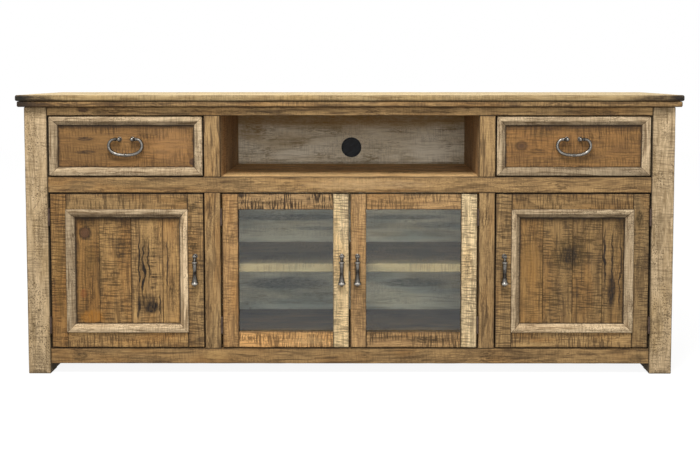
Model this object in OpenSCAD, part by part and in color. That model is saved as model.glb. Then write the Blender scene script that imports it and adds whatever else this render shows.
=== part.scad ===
// Rustic plank TV stand: two drawers over two panelled doors, an open media niche over two glazed doors.
// The origin is on the floor under the middle of the top. +Z is up, +X is to the right, the front faces -Y.

/* [Heights] */
// Gap between the floor and the bottom rail
base_clear = 30; // [12:1:120]
// Height of the bottom rail
bottom_rail_h = 45; // [34:1:90]
// Height of the door openings
door_bay_h = 460; // [400:1:600]
// Height of the middle rail
mid_rail_h = 46; // [34:1:90]
// Height of the drawer and niche openings
drawer_bay_h = 179; // [165:1:240]
// Height of the top rail
top_rail_h = 25; // [18:1:60]
// Thickness of the lower board of the top
sub_top_t = 17; // [15:1:30]
// Thickness of the upper planks of the top
top_t = 18; // [17:1:30]

/* [Widths] */
// Width of the middle bay
middle_bay_w = 754; // [560:1:1000]
// Width of a stile beside the middle bay
stile_w = 47; // [30:1:80]
// Width of each side bay
side_bay_w = 455; // [360:1:600]
// Width of a post
post_w = 66; // [50:1:100]

/* [Depths] */
// Depth of a post
post_d = 66; // [50:1:100]
// Depth over the posts
body_d = 488; // [460:1:620]
// How far the top reaches past the posts, at the front and at both ends
top_overhang = 20; // [20:1:50]
// How far the face frame lies behind the front of the posts
face_recess = 2; // [1:0.5:8]
// Thickness of the face frame
frame_t = 22; // [20:0.5:30]
// Thickness of the back panels
back_t = 10; // [6:1:14]
// How far the back panels lie in front of the rear posts' backs
back_recess = 8; // [4:1:20]

/* [Top] */
// Width of one plank of the top, about
top_plank_w = 127; // [80:1:200]
// Radius of the worn edge of the upper planks
top_edge_r = 8; // [3:0.5:8]
// Radius of the worn edge of the lower board
sub_edge_r = 7; // [3:0.5:7]
// How far the lower board's edge lies inside the upper planks' edge
sub_inset = 4; // [2:1:12]

/* [Carcass] */
// Thickness of the decks
deck_t = 18; // [15:1:25]
// How far the bottom deck's underside lies below the top of the bottom rail
deck_lap = 4; // [1:1:12]
// Thickness of the partitions
partition_t = 20; // [16:1:26]
// Thickness of the side planks
side_plank_t = 18; // [14:1:22]
// Width of one side plank, about
side_plank_w = 89; // [60:1:140]
// How far the side planks lie inside the posts' outer faces
side_inset = 11; // [8:1:16]
// Height of the rail over the side planks
side_rail_h = 60; // [40:1:80]
// How far the side rails and sills lie inside the posts' outer faces
side_rail_inset = 4; // [2:1:7]
// How far the side rails reach inside the side planks' inner faces
side_rail_lap = 5; // [0:1:10]
// Gap between the floor and the side sills
sill_clear = 3; // [1:1:8]
// Thickness of the rear rail under the bottom deck
rear_rail_t = 22; // [16:1:30]
// Rounding of the posts' long edges
post_edge_r = 3; // [1:0.5:5]
// Rounding of the frame and door members' long edges
member_edge_r = 1.5; // [0.5:0.5:3]

/* [Shelves] */
// Thickness of the shelves
shelf_t = 25; // [16:1:30]
// Height of the shelves' undersides over the bottom deck
shelf_up = 204; // [120:1:280]
// Gap at each end of a shelf
shelf_gap = 1; // [0.5:0.5:3]
// How far the middle shelf lies behind the face frame
shelf_setback = 30; // [20:1:120]
// Radius of a shelf pin
shelf_pin_r = 2.5; // [2:0.25:4]
// Length of a shelf pin inside the wood
shelf_pin_in = 10; // [6:1:12]
// Length of a shelf pin under the shelf
shelf_pin_out = 9; // [6:1:14]
// Distance of a shelf pin from the shelf's front or rear edge
shelf_pin_inset = 48; // [20:1:80]

/* [Doors] */
// Thickness of the doors
door_t = 21.5; // [20:0.5:26]
// Gap at the hinge side, which holds both hinge leaves
hinge_gap = 5; // [4.5:0.25:7]
// Gap at the latch side of a panelled door
latch_gap = 3; // [2.5:0.5:6]
// Gap between the two glazed doors
meeting_gap = 4; // [3:0.5:8]
// Gap over and under each door
door_end_gap = 3; // [2:0.5:6]
// Width of the panelled doors' frame members
panel_member_w = 55; // [46:1:80]
// Width of the glazed doors' frame members
glass_member_w = 46.5; // [40:0.5:70]
// Thickness of the door planks
door_plank_t = 9; // [6:0.5:10]
// How far the door planks lie behind the face of the door
door_plank_setback = 9; // [7:0.5:9]
// How far the door planks reach into the members' grooves
door_plank_tongue = 8; // [4:1:12]
// Plank width of the left door, about
left_door_plank_w = 93; // [70:1:120]
// Plank width of the right door, about
right_door_plank_w = 87; // [70:1:120]
// Thickness of the glass
glass_t = 3; // [2:0.5:5]
// How far the glass lies behind the face of the door
glass_setback = 13; // [10:0.5:14]
// Width of the rabbet that holds the glass
glass_rabbet = 8; // [6:0.5:12]
// Gap round the glass in its rabbet
glass_edge_gap = 0.5; // [0.25:0.25:1.5]

/* [Mouldings] */
// Width of the mouldings
moulding_w = 25; // [18:1:32]
// How far the door moulding laps onto the frame members
moulding_lap = 10; // [6:1:14]
// How far the door moulding stands out of the face of the door
door_moulding_proud = 7; // [4:0.5:7]
// How far the drawer moulding stands out of the drawer front
drawer_moulding_proud = 10; // [6:0.5:10]
// Height of the mouldings' inner edge over what they lie on
moulding_lip = 3; // [2:0.5:5]
// Width of the mouldings' outer band, before they slope down
moulding_band = 15.5; // [10:0.5:17]
// Rounding of the mouldings' outer edge
moulding_nose = 3; // [1.5:0.5:4]

/* [Drawers] */
// Gap at each end of a drawer front
drawer_side_gap = 4; // [2:0.5:6]
// Gap over and under a drawer front
drawer_end_gap = 3; // [2:0.5:6]
// Thickness of the drawer front board
drawer_front_t = 18; // [15:1:24]
// Height of the drawer box
drawer_box_h = 120; // [90:1:130]
// Height of the drawer box's lower edge over the mid deck
drawer_box_up = 19; // [8:1:26]
// Gap between the drawer box and the back panels
drawer_back_gap = 30; // [16:1:90]
// Thickness of the drawer box's walls
drawer_wall_t = 12; // [10:1:16]
// Thickness of the drawer's bottom
drawer_bottom_t = 6; // [4:0.5:9]
// How far the drawer's bottom lies over the lower edge of the box
drawer_bottom_up = 3; // [2:0.5:10]
// How far the drawer's bottom reaches into the walls' grooves
drawer_bottom_tongue = 6; // [3:0.5:8]
// Space at each side of the drawer box for the slide
slide_gap = 13; // [12.5:0.5:16]
// Height of the slide's middle over the lower edge of the box
slide_up = 57.5; // [45:0.5:65]
// Height of the slide's outer channel
slide_h = 35; // [30:1:45]
// Thickness of the slide's steel
slide_steel_t = 1.5; // [1:0.1:2]
// Width of the outer channel's lips
slide_lip = 9; // [6:0.5:10]
// Clearance between the two channels of a slide
slide_clear = 0.3; // [0.2:0.05:0.6]
// Space between the inner channel's lips and the outer channel's web
slide_air = 3.5; // [2:0.5:4]
// Distance of the channels' front ends behind the drawer front
slide_start = 4; // [3:0.5:10]
// Distance of the channels' rear ends in front of the drawer box's back
slide_end = 16; // [8:1:60]

/* [Hinges] */
// Length of a hinge
hinge_len = 50; // [40:1:70]
// Distance of a hinge's middle from the door's top or bottom edge
hinge_inset = 68; // [50:1:110]
// Radius of the knuckles
knuckle_r = 3; // [2.6:0.1:3]
// Length of the middle knuckle
middle_knuckle = 19.2; // [12:0.2:22]
// Gap between two knuckles
knuckle_gap = 0.2; // [0.15:0.05:0.5]
// How far the pin's axis lies in front of the face frame
hinge_stand = 4; // [4:0.1:5]
// Radius of the hinge pin
hinge_pin_r = 1.4; // [1:0.1:1.6]
// Running clearance of the door's knuckle on the pin
hinge_clear = 0.05; // [0.03:0.01:0.1]
// Clearance of the frame's knuckles on the pin
pin_seat_clear = 0.02; // [0.01:0.01:0.03]
// Clearance of a leaf round the other leaf's knuckles
leaf_relief = 0.35; // [0.3:0.05:0.6]
// Thickness of the leaves
leaf_t = 1.5; // [1:0.1:1.6]
// How far the leaves reach behind the pin's axis
leaf_reach = 16; // [12:1:20]

/* [Catches] */
// Distance of a panelled door's catch from its latch edge
panel_catch_inset = 23; // [21:1:40]
// Distance of a glazed door's catch from its latch edge
glass_catch_inset = 12; // [12:1:30]
// Distance of the catches' middle below the doors' top edge
catch_drop = 12; // [10:1:30]
// Width of a catch
catch_w = 18; // [14:1:20]
// Height of a catch
catch_h = 16; // [10:1:20]
// Depth of a catch
catch_d = 3.6; // [3:0.1:8]
// Depth of the wooden block behind a catch
catch_block_d = 18; // [12:1:30]
// How far the block reaches past its catch at each side and below
catch_block_margin = 4; // [2:1:12]
// Thickness of a strike plate
strike_t = 0.6; // [0.5:0.1:1]
// Air between a closed door's strike plate and its catch
catch_air = 0.3; // [0.2:0.1:0.6]

/* [Drop pulls] */
// Distance of a panelled door's pull from its latch edge
panel_pull_inset = 25; // [18:1:30]
// Distance of a glazed door's pull from its latch edge
glass_pull_inset = 21; // [14:1:30]
// Height of the pulls' pins over the doors' bottom edge
pull_up = 270.5; // [150:0.5:330]
// How far a pull's pin stands in front of the door
pull_stand = 11; // [11:0.1:12]
// Radius of the mounting rosette
rosette_r = 7.5; // [6:0.1:8]
// Thickness of the mounting rosette
rosette_t = 2.5; // [1.5:0.1:3]
// Radius of the ears that hold the pull
ear_r = 5.5; // [4.5:0.1:5.5]
// Thickness of one ear
ear_t = 3.6; // [2.5:0.1:4]
// Radius of the pull's pin
pull_pin_r = 1.6; // [1.2:0.1:2]
// Running clearance of the pull on its pin
pull_clear = 0.06; // [0.03:0.01:0.1]
// Thickness of the pull's tongue
tongue_t = 3.6; // [2.5:0.1:4]
// Gap at each side of the tongue between the ears
tongue_gap = 0.2; // [0.15:0.05:0.5]
// Radius of the round end of the tongue
tongue_r = 4; // [3:0.1:4.5]
// Length of the pull below its pin
pendant_len = 88; // [70:1:110]
// Gap between the ears and the round part of the pull's neck
pendant_neck_gap = 0.8; // [0.5:0.1:2]
// Radius of the pull's neck
pendant_neck_r = 3.4; // [2.8:0.1:4]
// Height of the cone between the neck and the collar
pendant_cone_h = 4.5; // [2:0.5:6]
// Distance of the collar's upper edge below the pin
pendant_collar_drop = 15.5; // [13:0.5:20]
// Height of the collar
pendant_collar_h = 4; // [2:0.5:8]
// Radius of the pull's collar
pendant_collar_r = 8; // [6:0.1:8.5]
// Radius at the slimmest part of the pull's shaft
pendant_shaft_r = 5.2; // [4:0.1:6]
// Radius of the pull's flared foot
pendant_flare_r = 10.5; // [8:0.1:10.5]

/* [Bail pulls] */
// Distance between the middles of a bail's two posts
bail_spacing = 38; // [32:1:50]
// Height of a bail's pivot over the middle of the drawer front
bail_up = 20.5; // [10:0.5:26]
// How far the bail's pivot stands in front of the drawer front board
bail_stand = 11; // [10:0.5:14]
// Radius of the post's rosette
bail_rosette_r = 7; // [6:0.1:8]
// Thickness of the post's rosette
bail_rosette_t = 2; // [1.5:0.1:3]
// Radius of the post's stem
bail_stem_r = 3.2; // [2.5:0.1:4]
// Radius of the post's ball
bail_ball_r = 5.5; // [5:0.1:6]
// Depth of the blind hole in the ball
bail_hole_depth = 8; // [6:0.1:9]
// Radius of the bail's end pins
bail_pin_r = 2; // [1.5:0.1:2.5]
// Running clearance of the bail's pins
bail_clear = 0.1; // [0.06:0.01:0.1]
// Half the width of the bail, to the middle of its bar
bail_half_w = 48.5; // [42:0.5:60]
// Radius of the bail's upper bends
bail_upper_r = 18; // [12:0.5:18]
// Radius of the bail's lower bends
bail_lower_r = 28; // [20:0.5:30]
// Radius of the bail's bar
bail_bar_r = 3.4; // [2.5:0.1:4]
// Radius of the ferrules at the bail's ends
ferrule_r = 4.6; // [3.6:0.1:5]
// Gap between a ferrule and its ball
ferrule_gap = 0.5; // [0.3:0.1:1]
// Length of the bead at the middle of the bail
bail_bead_len = 5; // [3:0.5:10]
// How far the bead stands out of the bar
bail_bead_step = 1; // [0.5:0.1:1.5]

/* [Cable outlet] */
// Height of the outlet's middle over the mid deck
outlet_up = 55; // [45:1:90]
// Radius of the hole in the back panel
outlet_hole_r = 28.5; // [20:0.5:32]
// Radius of the ring's flange
ring_flange_r = 31; // [30:0.5:38]
// Thickness of the ring's flange
ring_flange_t = 2.5; // [2:0.1:4]
// Wall of the ring's sleeve
ring_wall = 2.8; // [1.5:0.1:4]
// Gap between the sleeve and the hole
ring_gap = 0.2; // [0.1:0.05:0.5]
// How far the cap lies over the ledge inside the ring
cap_ledge = 2; // [1:0.1:2]
// Thickness of the cap's disc
cap_t = 1.1; // [0.8:0.1:1.4]
// Depth of the cap's recess in the flange
cap_recess = 1.2; // [0.8:0.1:1.5]
// Clearance round the cap
cap_clear = 0.3; // [0.2:0.05:0.4]
// Length of the cap's skirt
cap_skirt = 8; // [4:0.5:9]
// Wall of the cap's skirt
cap_wall = 2; // [1.5:0.1:3]

/* [Screws] */
// Radius of a back panel screw's head
screw_head_r = 4; // [3:0.25:5]
// Height of a back panel screw's head
screw_head_h = 2.2; // [1.5:0.1:3]
// Distance between the screws, about
screw_pitch = 150; // [80:5:300]
// Distance of the outer screws from the edges of the sheets
screw_margin = 20; // [10:1:40]

/* [Hidden] */
$fn = 48;
// Gap between two planks laid side by side
plank_seam = 0.4;
// How far a cutting shape runs past the face that it cuts
over = 1;
// Faces of the carcass, from the middle outwards
bay_x = middle_bay_w / 2;
side_x = bay_x + stile_w;
post_x = side_x + side_bay_w;
end_x = post_x + post_w;
top_x = end_x + top_overhang;
plank_x = end_x - side_inset - side_plank_t;
partition_x = bay_x + partition_t;
partition_mid_x = bay_x + partition_t / 2;
// Faces of the carcass, from the front to the back
back_y = (body_d + top_overhang) / 2;
post_y = back_y - body_d;
top_y = post_y - top_overhang;
face_y = post_y + face_recess;
inner_y = face_y + frame_t;
post_back_y = post_y + post_d;
rear_post_y = back_y - post_d;
sheet_back_y = back_y - back_recess;
sheet_y = sheet_back_y - back_t;
rear_rail_y = sheet_y - rear_rail_t;
shelf_y = inner_y + shelf_setback;
shelf_far_y = sheet_y - shelf_gap;
side_shelf_y = post_back_y + shelf_gap;
side_shelf_far_y = rear_post_y - shelf_gap;
// Levels, from the floor up
door_bay_z = base_clear + bottom_rail_h;
deck_z = door_bay_z - deck_lap;
deck_top_z = deck_z + deck_t;
mid_rail_z = door_bay_z + door_bay_h;
drawer_bay_z = mid_rail_z + mid_rail_h;
mid_deck_z = drawer_bay_z - deck_t;
top_rail_z = drawer_bay_z + drawer_bay_h;
body_z = top_rail_z + top_rail_h;
sub_top_z = body_z + sub_top_t;
top_z = sub_top_z + top_t;
shelf_z = deck_top_z + shelf_up;
side_rail_z = body_z - side_rail_h;
// Doors: right-hand ones are drawn, and the left-hand ones are their mirror images
door_z = door_bay_z + door_end_gap;
door_h = door_bay_h - 2 * door_end_gap;
door_back_y = face_y + door_t;
panel_door_x = side_x + latch_gap;
panel_door_w = side_bay_w - latch_gap - hinge_gap;
glass_door_x = meeting_gap / 2;
glass_door_w = bay_x - glass_door_x - hinge_gap;
panel_axis_x = post_x - hinge_gap / 2;
glass_axis_x = bay_x - hinge_gap / 2;
hinge_y = face_y - hinge_stand;
hinge_levels = [door_z + hinge_inset, door_z + door_h - hinge_inset];
panel_pull_x = panel_door_x + panel_pull_inset;
glass_pull_x = glass_door_x + glass_pull_inset;
pull_y = face_y - pull_stand;
pull_z = door_z + pull_up;
panel_catch_x = panel_door_x + panel_catch_inset;
glass_catch_x = glass_door_x + glass_catch_inset;
catch_z = door_z + door_h - catch_drop;
catch_y = door_back_y + strike_t + catch_air;
catch_block_y = catch_y + catch_d;
catch_block_z = catch_z - catch_h / 2 - catch_block_margin;
// Drawers
drawer_x = side_x + drawer_side_gap;
drawer_w = side_bay_w - 2 * drawer_side_gap;
drawer_z = drawer_bay_z + drawer_end_gap;
drawer_h = drawer_bay_h - 2 * drawer_end_gap;
drawer_y = face_y + drawer_moulding_proud;
box_x = side_x + slide_gap;
box_w = side_bay_w - 2 * slide_gap;
box_y = drawer_y + drawer_front_t;
box_z = drawer_bay_z + drawer_box_up;
box_back_y = sheet_y - drawer_back_gap;
slide_z = box_z + slide_up;
slide_inner_h = slide_h - 2 * slide_steel_t - 2 * slide_clear;
slide_y = box_y + slide_start;
slide_far_y = box_back_y - slide_end;
bail_x = drawer_x + drawer_w / 2;
bail_y = drawer_y - bail_stand;
bail_z = drawer_z + drawer_h / 2 + bail_up;
// Cable outlet
outlet_z = drawer_bay_z + outlet_up;
sleeve_r = outlet_hole_r - ring_gap;
outlet_r = sleeve_r - ring_wall;
recess_r = outlet_r + cap_ledge + cap_clear;
// Colours
tan_wood = "#b6976b";
grey_wood = "#b9a17c";
honey_wood = "#9a7444";
brown_wood = "#8b683e";
pale_wood = "#c4ab83";
plain_wood = "#c7b187";
washed_wood = "#a9a294";
pewter = "#77736c";
dark_iron = "#4a443d";
zinc = "#b9bcbe";
black_plastic = "#1c1e24";

// Box between two corners
module block(from, to) {
    translate(from) cube(to - from);
}

// Rectangle with rounded corners
module eased_square(w, d, r) {
    translate([r, 0]) square([w - 2 * r, d]);
    translate([0, r]) square([w, d - 2 * r]);
    for (x = [r, w - r]) {
        for (y = [r, d - r]) {
            translate([x, y]) circle(r);
        }
    }
}

// Member that stands along Z between two corners, with its long edges eased
module standing_member(from, to, r) {
    size = to - from;
    translate(from) linear_extrude(size[2]) eased_square(size[0], size[1], r);
}

// Member that lies along X between two corners, with its long edges eased
module lying_member(from, to, r) {
    size = to - from;
    translate(from) rotate([90, 0, 90]) linear_extrude(size[0]) eased_square(size[1], size[2], r);
}

// The same piece at the right and, mirrored, at the left
module both_sides() {
    children();
    mirror([1, 0, 0]) children();
}

// Rectangle whose left edge is fully worn round
module worn_left(w, h, r) {
    translate([r, 0]) square([w - r, h]);
    translate([0, r]) square([w, h - 2 * r]);
    for (y = [r, h - r]) {
        translate([r, y]) circle(r);
    }
}

// Slab with worn edges at the front and at both ends
module worn_slab(half_w, front, back, low, t, r) {
    intersection() {
        translate([-half_w - over, front, low]) rotate([90, 0, 90])
            linear_extrude(2 * (half_w + over)) worn_left(back - front, t, r);
        translate([-half_w, back + over, low]) rotate([90, 0, 0])
            linear_extrude(back - front + 2 * over) eased_square(2 * half_w, t, r);
    }
}

// Widths of planks that fill a span: whole planks from the start, and the last takes what is left
function plank_count(span, w) = max(1, round(span / w));

// Cove from the crest of a moulding down to its inner lip
function moulding_slope(w, crest, lip, lap) = [
    for (t = [0 : 0.2 : 1]) [lap + (w - lap) * t, lip + (crest - lip) * pow(cos(90 * t), 1.4)]
];

// Section of a moulding: u runs from its outer edge inwards, v out of the face that carries it.
// Past seat its back goes drop deeper, onto what lies inside the frame
module moulding_section(w, crest, seat, drop) {
    nose = min(moulding_nose, crest / 2);
    outer = [for (a = [180 : -30 : 90]) [nose + nose * cos(a), crest - nose + nose * sin(a)]];
    slope = moulding_slope(w, crest, moulding_lip - drop, moulding_band);
    back = drop > 0 ? [[w, -drop], [seat, -drop], [seat, 0]] : [[w, 0]];
    polygon(concat([[0, 0]], outer, slope, back));
}

// One mitred side of a moulding frame, lying along X with its outer edge at y = 0
module mitred_side(span, w, crest, seat, drop) {
    intersection() {
        rotate([90, 0, 90]) linear_extrude(span) moulding_section(w, crest, seat, drop);
        translate([0, 0, -drop - over]) linear_extrude(crest + drop + 2 * over)
            polygon([[0, 0], [span, 0], [span - w, w], [w, w]]);
    }
}

// Four mitred sides round a rectangle, lying on the face y = face and standing out of it to the front
module moulding_frame(x, z, wide, high, face, crest, seat, drop) {
    translate([x, face, z]) rotate([90, 0, 0]) {
        mitred_side(wide, moulding_w, crest, seat, drop);
        translate([wide, 0, 0]) rotate([0, 0, 90]) mitred_side(high, moulding_w, crest, seat, drop);
        translate([wide, high, 0]) rotate([0, 0, 180]) mitred_side(wide, moulding_w, crest, seat, drop);
        translate([0, high, 0]) rotate([0, 0, 270]) mitred_side(high, moulding_w, crest, seat, drop);
    }
}

// Upper planks of the top
module top_planks() {
    count = plank_count(back_y - top_y, top_plank_w);
    pitch = (back_y - top_y) / count;
    color(tan_wood) for (i = [0 : count - 1]) {
        intersection() {
            worn_slab(top_x, top_y, back_y, sub_top_z, top_t, top_edge_r);
            block([-top_x - over, top_y + pitch * i + (i > 0 ? plank_seam : -over), sub_top_z - over],
                  [top_x + over, top_y + pitch * (i + 1) + (i < count - 1 ? 0 : over), top_z + over]);
        }
    }
}

// Lower board of the top
module sub_top() {
    color(honey_wood)
        worn_slab(top_x - sub_inset, top_y + sub_inset, back_y, body_z, sub_top_t, sub_edge_r);
}

// Front posts, down to the floor
module front_posts() {
    color(grey_wood) both_sides()
        standing_member([post_x, post_y, 0], [end_x, post_back_y, body_z], post_edge_r);
}

// Rear posts, down to the floor
module rear_posts() {
    color(grey_wood) both_sides()
        standing_member([post_x, rear_post_y, 0], [end_x, back_y, body_z], post_edge_r);
}

// Rails over the side planks and sills under them
module side_rails() {
    color(honey_wood) both_sides() {
        block([plank_x - side_rail_lap, post_back_y, side_rail_z],
              [end_x - side_rail_inset, rear_post_y, body_z]);
        block([post_x, post_back_y, sill_clear], [end_x - side_rail_inset, rear_post_y, deck_z]);
    }
}

// Side planks, standing on the sills
module side_panels() {
    count = plank_count(rear_post_y - post_back_y, side_plank_w);
    pitch = (rear_post_y - post_back_y) / count;
    color(tan_wood) both_sides() difference() {
        for (i = [0 : count - 1]) {
            block([plank_x, post_back_y + pitch * i + (i > 0 ? plank_seam : 0), deck_z],
                  [plank_x + side_plank_t, post_back_y + pitch * (i + 1), side_rail_z]);
        }
        side_shelf_pins(shelf_pin_r + pin_seat_clear, over);
    }
}

// Bottom, middle and top rails of the face frame
module front_rails() {
    spans = [[base_clear, door_bay_z], [mid_rail_z, drawer_bay_z], [top_rail_z, body_z]];
    color(honey_wood) for (span = spans) {
        lying_member([-post_x, face_y, span[0]], [post_x, inner_y, span[1]], member_edge_r);
    }
}

// Stiles of the face frame, beside the middle bay
module front_stiles() {
    color(honey_wood) both_sides() for (span = [[door_bay_z, mid_rail_z], [drawer_bay_z, top_rail_z]]) {
        standing_member([bay_x, face_y, span[0]], [side_x, inner_y, span[1]], member_edge_r);
    }
}

// Rail under the rear edge of the bottom deck
module rear_rail() {
    color(brown_wood) block([-post_x, rear_rail_y, base_clear], [post_x, sheet_y, deck_z]);
}

// Upright partitions between the bays
module partitions() {
    color(brown_wood) both_sides() difference() {
        block([bay_x, inner_y, deck_top_z], [partition_x, sheet_y, body_z]);
        side_shelf_pins(shelf_pin_r + pin_seat_clear, over);
        middle_shelf_pins(shelf_pin_r + pin_seat_clear, over);
        block([bay_x - over, inner_y - over, mid_deck_z], [partition_mid_x, sheet_y + over, drawer_bay_z]);
    }
}

// Middle deck: the niche's floor and the boards under the drawers
module mid_deck() {
    color(brown_wood) {
        block([-partition_mid_x, inner_y, mid_deck_z], [partition_mid_x, sheet_y, drawer_bay_z]);
        both_sides() {
            block([partition_x, inner_y, mid_deck_z], [post_x, sheet_y, drawer_bay_z]);
            block([post_x, post_back_y, mid_deck_z], [plank_x, rear_post_y, drawer_bay_z]);
        }
    }
}

// Bottom deck, notched round the posts
module bottom_deck() {
    color(brown_wood) {
        block([-post_x, inner_y, deck_z], [post_x, sheet_y, deck_top_z]);
        block([-plank_x, post_back_y, deck_z], [plank_x, rear_post_y, deck_top_z]);
    }
}

// Three sheets of the back, with the cable outlet's hole in the middle one
module back_panels() {
    color(washed_wood) {
        difference() {
            block([-partition_mid_x + plank_seam / 2, sheet_y, base_clear],
                  [partition_mid_x - plank_seam / 2, sheet_back_y, body_z]);
            outlet_at(sheet_y - over) cylinder(r = outlet_hole_r, h = back_t + 2 * over);
        }
        both_sides() block([partition_mid_x + plank_seam / 2, sheet_y, base_clear],
                           [post_x, sheet_back_y, body_z]);
    }
}

// Places a piece drawn along +Z at the cable outlet, pointing to the back
module outlet_at(y) {
    translate([0, y, outlet_z]) rotate([-90, 0, 0]) children();
}

// Screw heads on the back of the sheets, along the decks and the partitions
module back_panel_screws() {
    run = 2 * (post_x - screw_margin);
    across = plank_count(run, screw_pitch);
    rise = body_z - drawer_bay_z - 2 * screw_margin;
    low_rise = mid_deck_z - deck_top_z - 2 * screw_margin;
    color(zinc) {
        for (i = [0 : across]) {
            for (z = [deck_z + deck_t / 2, mid_deck_z + deck_t / 2]) {
                screw_head(-post_x + screw_margin + run * i / across, z);
            }
        }
        both_sides() for (x = [bay_x + partition_t / 4, partition_x - partition_t / 4]) {
            for (t = [0.05, 0.5, 0.95]) {
                screw_head(x, drawer_bay_z + screw_margin + rise * t);
                screw_head(x, deck_top_z + screw_margin + low_rise * t);
            }
        }
    }
}

// Pan head of one screw on the back sheets
module screw_head(x, z) {
    translate([x, sheet_back_y, z]) rotate([-90, 0, 0]) cylinder(r = screw_head_r, h = screw_head_h);
}

// Ring that lines the cable outlet
module grommet_ring() {
    color(black_plastic) outlet_at(sheet_y - ring_flange_t) difference() {
        union() {
            cylinder(r = ring_flange_r, h = ring_flange_t);
            cylinder(r = sleeve_r, h = ring_flange_t + back_t);
        }
        translate([0, 0, -over]) cylinder(r = recess_r, h = over + cap_recess);
        translate([0, 0, -over]) cylinder(r = outlet_r, h = ring_flange_t + back_t + 2 * over);
    }
}

// Cap that closes the cable outlet
module grommet_cap() {
    color(black_plastic) outlet_at(sheet_y - ring_flange_t + cap_recess - cap_clear - cap_t) difference() {
        union() {
            cylinder(r = recess_r - cap_clear, h = cap_t);
            cylinder(r = outlet_r - cap_clear, h = cap_t + cap_skirt);
        }
        translate([0, 0, cap_t]) cylinder(r = outlet_r - cap_clear - cap_wall, h = cap_skirt + over);
    }
}

// Shelves: one in the middle bay and one in each side bay
module shelves() {
    color(plain_wood) {
        block([-bay_x + shelf_gap, shelf_y, shelf_z], [bay_x - shelf_gap, shelf_far_y, shelf_z + shelf_t]);
        both_sides() block([partition_x + shelf_gap, side_shelf_y, shelf_z],
                           [plank_x - shelf_gap, side_shelf_far_y, shelf_z + shelf_t]);
    }
}

// One shelf pin under a shelf: x is the wall's face, way is +1 where the wall lies towards +X
module shelf_pin(x, y, way, r, out) {
    from = way > 0 ? x - out : x - shelf_pin_in;
    translate([from, y, shelf_z - shelf_pin_r]) rotate([0, 90, 0]) cylinder(r = r, h = shelf_pin_in + out);
}

// Pins at one end of the middle shelf or, a little thicker, the holes for them
module middle_shelf_pins(r, out) {
    for (y = [shelf_y + shelf_pin_inset, shelf_far_y - shelf_pin_inset]) {
        shelf_pin(bay_x, y, 1, r, out);
    }
}

// Pins at both ends of a side shelf or, a little thicker, the holes for them
module side_shelf_pins(r, out) {
    for (y = [side_shelf_y + shelf_pin_inset, side_shelf_far_y - shelf_pin_inset]) {
        shelf_pin(plank_x, y, 1, r, out);
        shelf_pin(partition_x, y, -1, r, out);
    }
}

// Shelf pins, four under each shelf
module shelf_pins() {
    color(zinc) both_sides() {
        middle_shelf_pins(shelf_pin_r, shelf_pin_out);
        side_shelf_pins(shelf_pin_r, shelf_pin_out);
    }
}

// Wooden strips that bring the drawer slides out to the edges of the bays
module drawer_runners() {
    color(plain_wood) both_sides() {
        block([post_x, post_back_y, slide_z - slide_h / 2], [plank_x, rear_post_y, slide_z + slide_h / 2]);
        block([partition_x, inner_y, slide_z - slide_h / 2], [side_x, sheet_y, slide_z + slide_h / 2]);
    }
}

// Channel of a drawer slide with its web on the plane x and its lips towards way
module channel(x, way, lip, high) {
    web = x + way * slide_steel_t;
    tip = x + way * lip;
    low = slide_z - high / 2;
    block([min(x, web), slide_y, low], [max(x, web), slide_far_y, low + high]);
    for (z = [low, low + high - slide_steel_t]) {
        block([min(x, tip), slide_y, z], [max(x, tip), slide_far_y, z + slide_steel_t]);
    }
}

// Outer channels of the drawer slides, fixed in the carcass
module slide_channels() {
    color(zinc) both_sides() {
        channel(post_x, -1, slide_lip, slide_h);
        channel(side_x, 1, slide_lip, slide_h);
    }
}

// Leaf of a butt hinge, with its pin along Z through the origin and its plate towards +X.
// own and other list the spans of this leaf's and of the other leaf's knuckles
module hinge_leaf(own, other, bore_clear) {
    difference() {
        union() {
            block([hinge_gap / 2 - leaf_t, 0, -hinge_len / 2], [hinge_gap / 2, leaf_reach, hinge_len / 2]);
            for (s = own) {
                translate([0, 0, s[0]]) cylinder(r = knuckle_r, h = s[1] - s[0]);
            }
        }
        for (s = other) {
            translate([0, 0, s[0] - knuckle_gap])
                cylinder(r = knuckle_r + leaf_relief, h = s[1] - s[0] + 2 * knuckle_gap);
        }
        translate([0, 0, -hinge_len / 2 - over])
            cylinder(r = hinge_pin_r + bore_clear, h = hinge_len + 2 * over);
    }
}

// Spans of the frame leaf's two knuckles and of the door leaf's one
frame_knuckles = [
    [-hinge_len / 2, -middle_knuckle / 2 - knuckle_gap],
    [middle_knuckle / 2 + knuckle_gap, hinge_len / 2]
];
door_knuckles = [[-middle_knuckle / 2, middle_knuckle / 2]];

// Hinge leaves on the posts and stiles, with the hinge pins
module hinge_frame_leaves() {
    color(dark_iron) both_sides() for (x = [panel_axis_x, glass_axis_x]) {
        for (z = hinge_levels) {
            translate([x, hinge_y, z]) {
                hinge_leaf(frame_knuckles, door_knuckles, pin_seat_clear);
                translate([0, 0, -hinge_len / 2]) cylinder(r = hinge_pin_r, h = hinge_len);
            }
        }
    }
}

// Hinge leaves on the edge of a right-hand door, and its strike plate
module door_iron(axis_x, catch_x) {
    color(dark_iron) {
        for (z = hinge_levels) {
            translate([axis_x, hinge_y, z]) mirror([1, 0, 0])
                hinge_leaf(door_knuckles, frame_knuckles, hinge_clear);
        }
        block([catch_x - catch_w / 2, door_back_y, catch_z - catch_h / 2],
              [catch_x + catch_w / 2, door_back_y + strike_t, catch_z + catch_h / 2]);
    }
}

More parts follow.
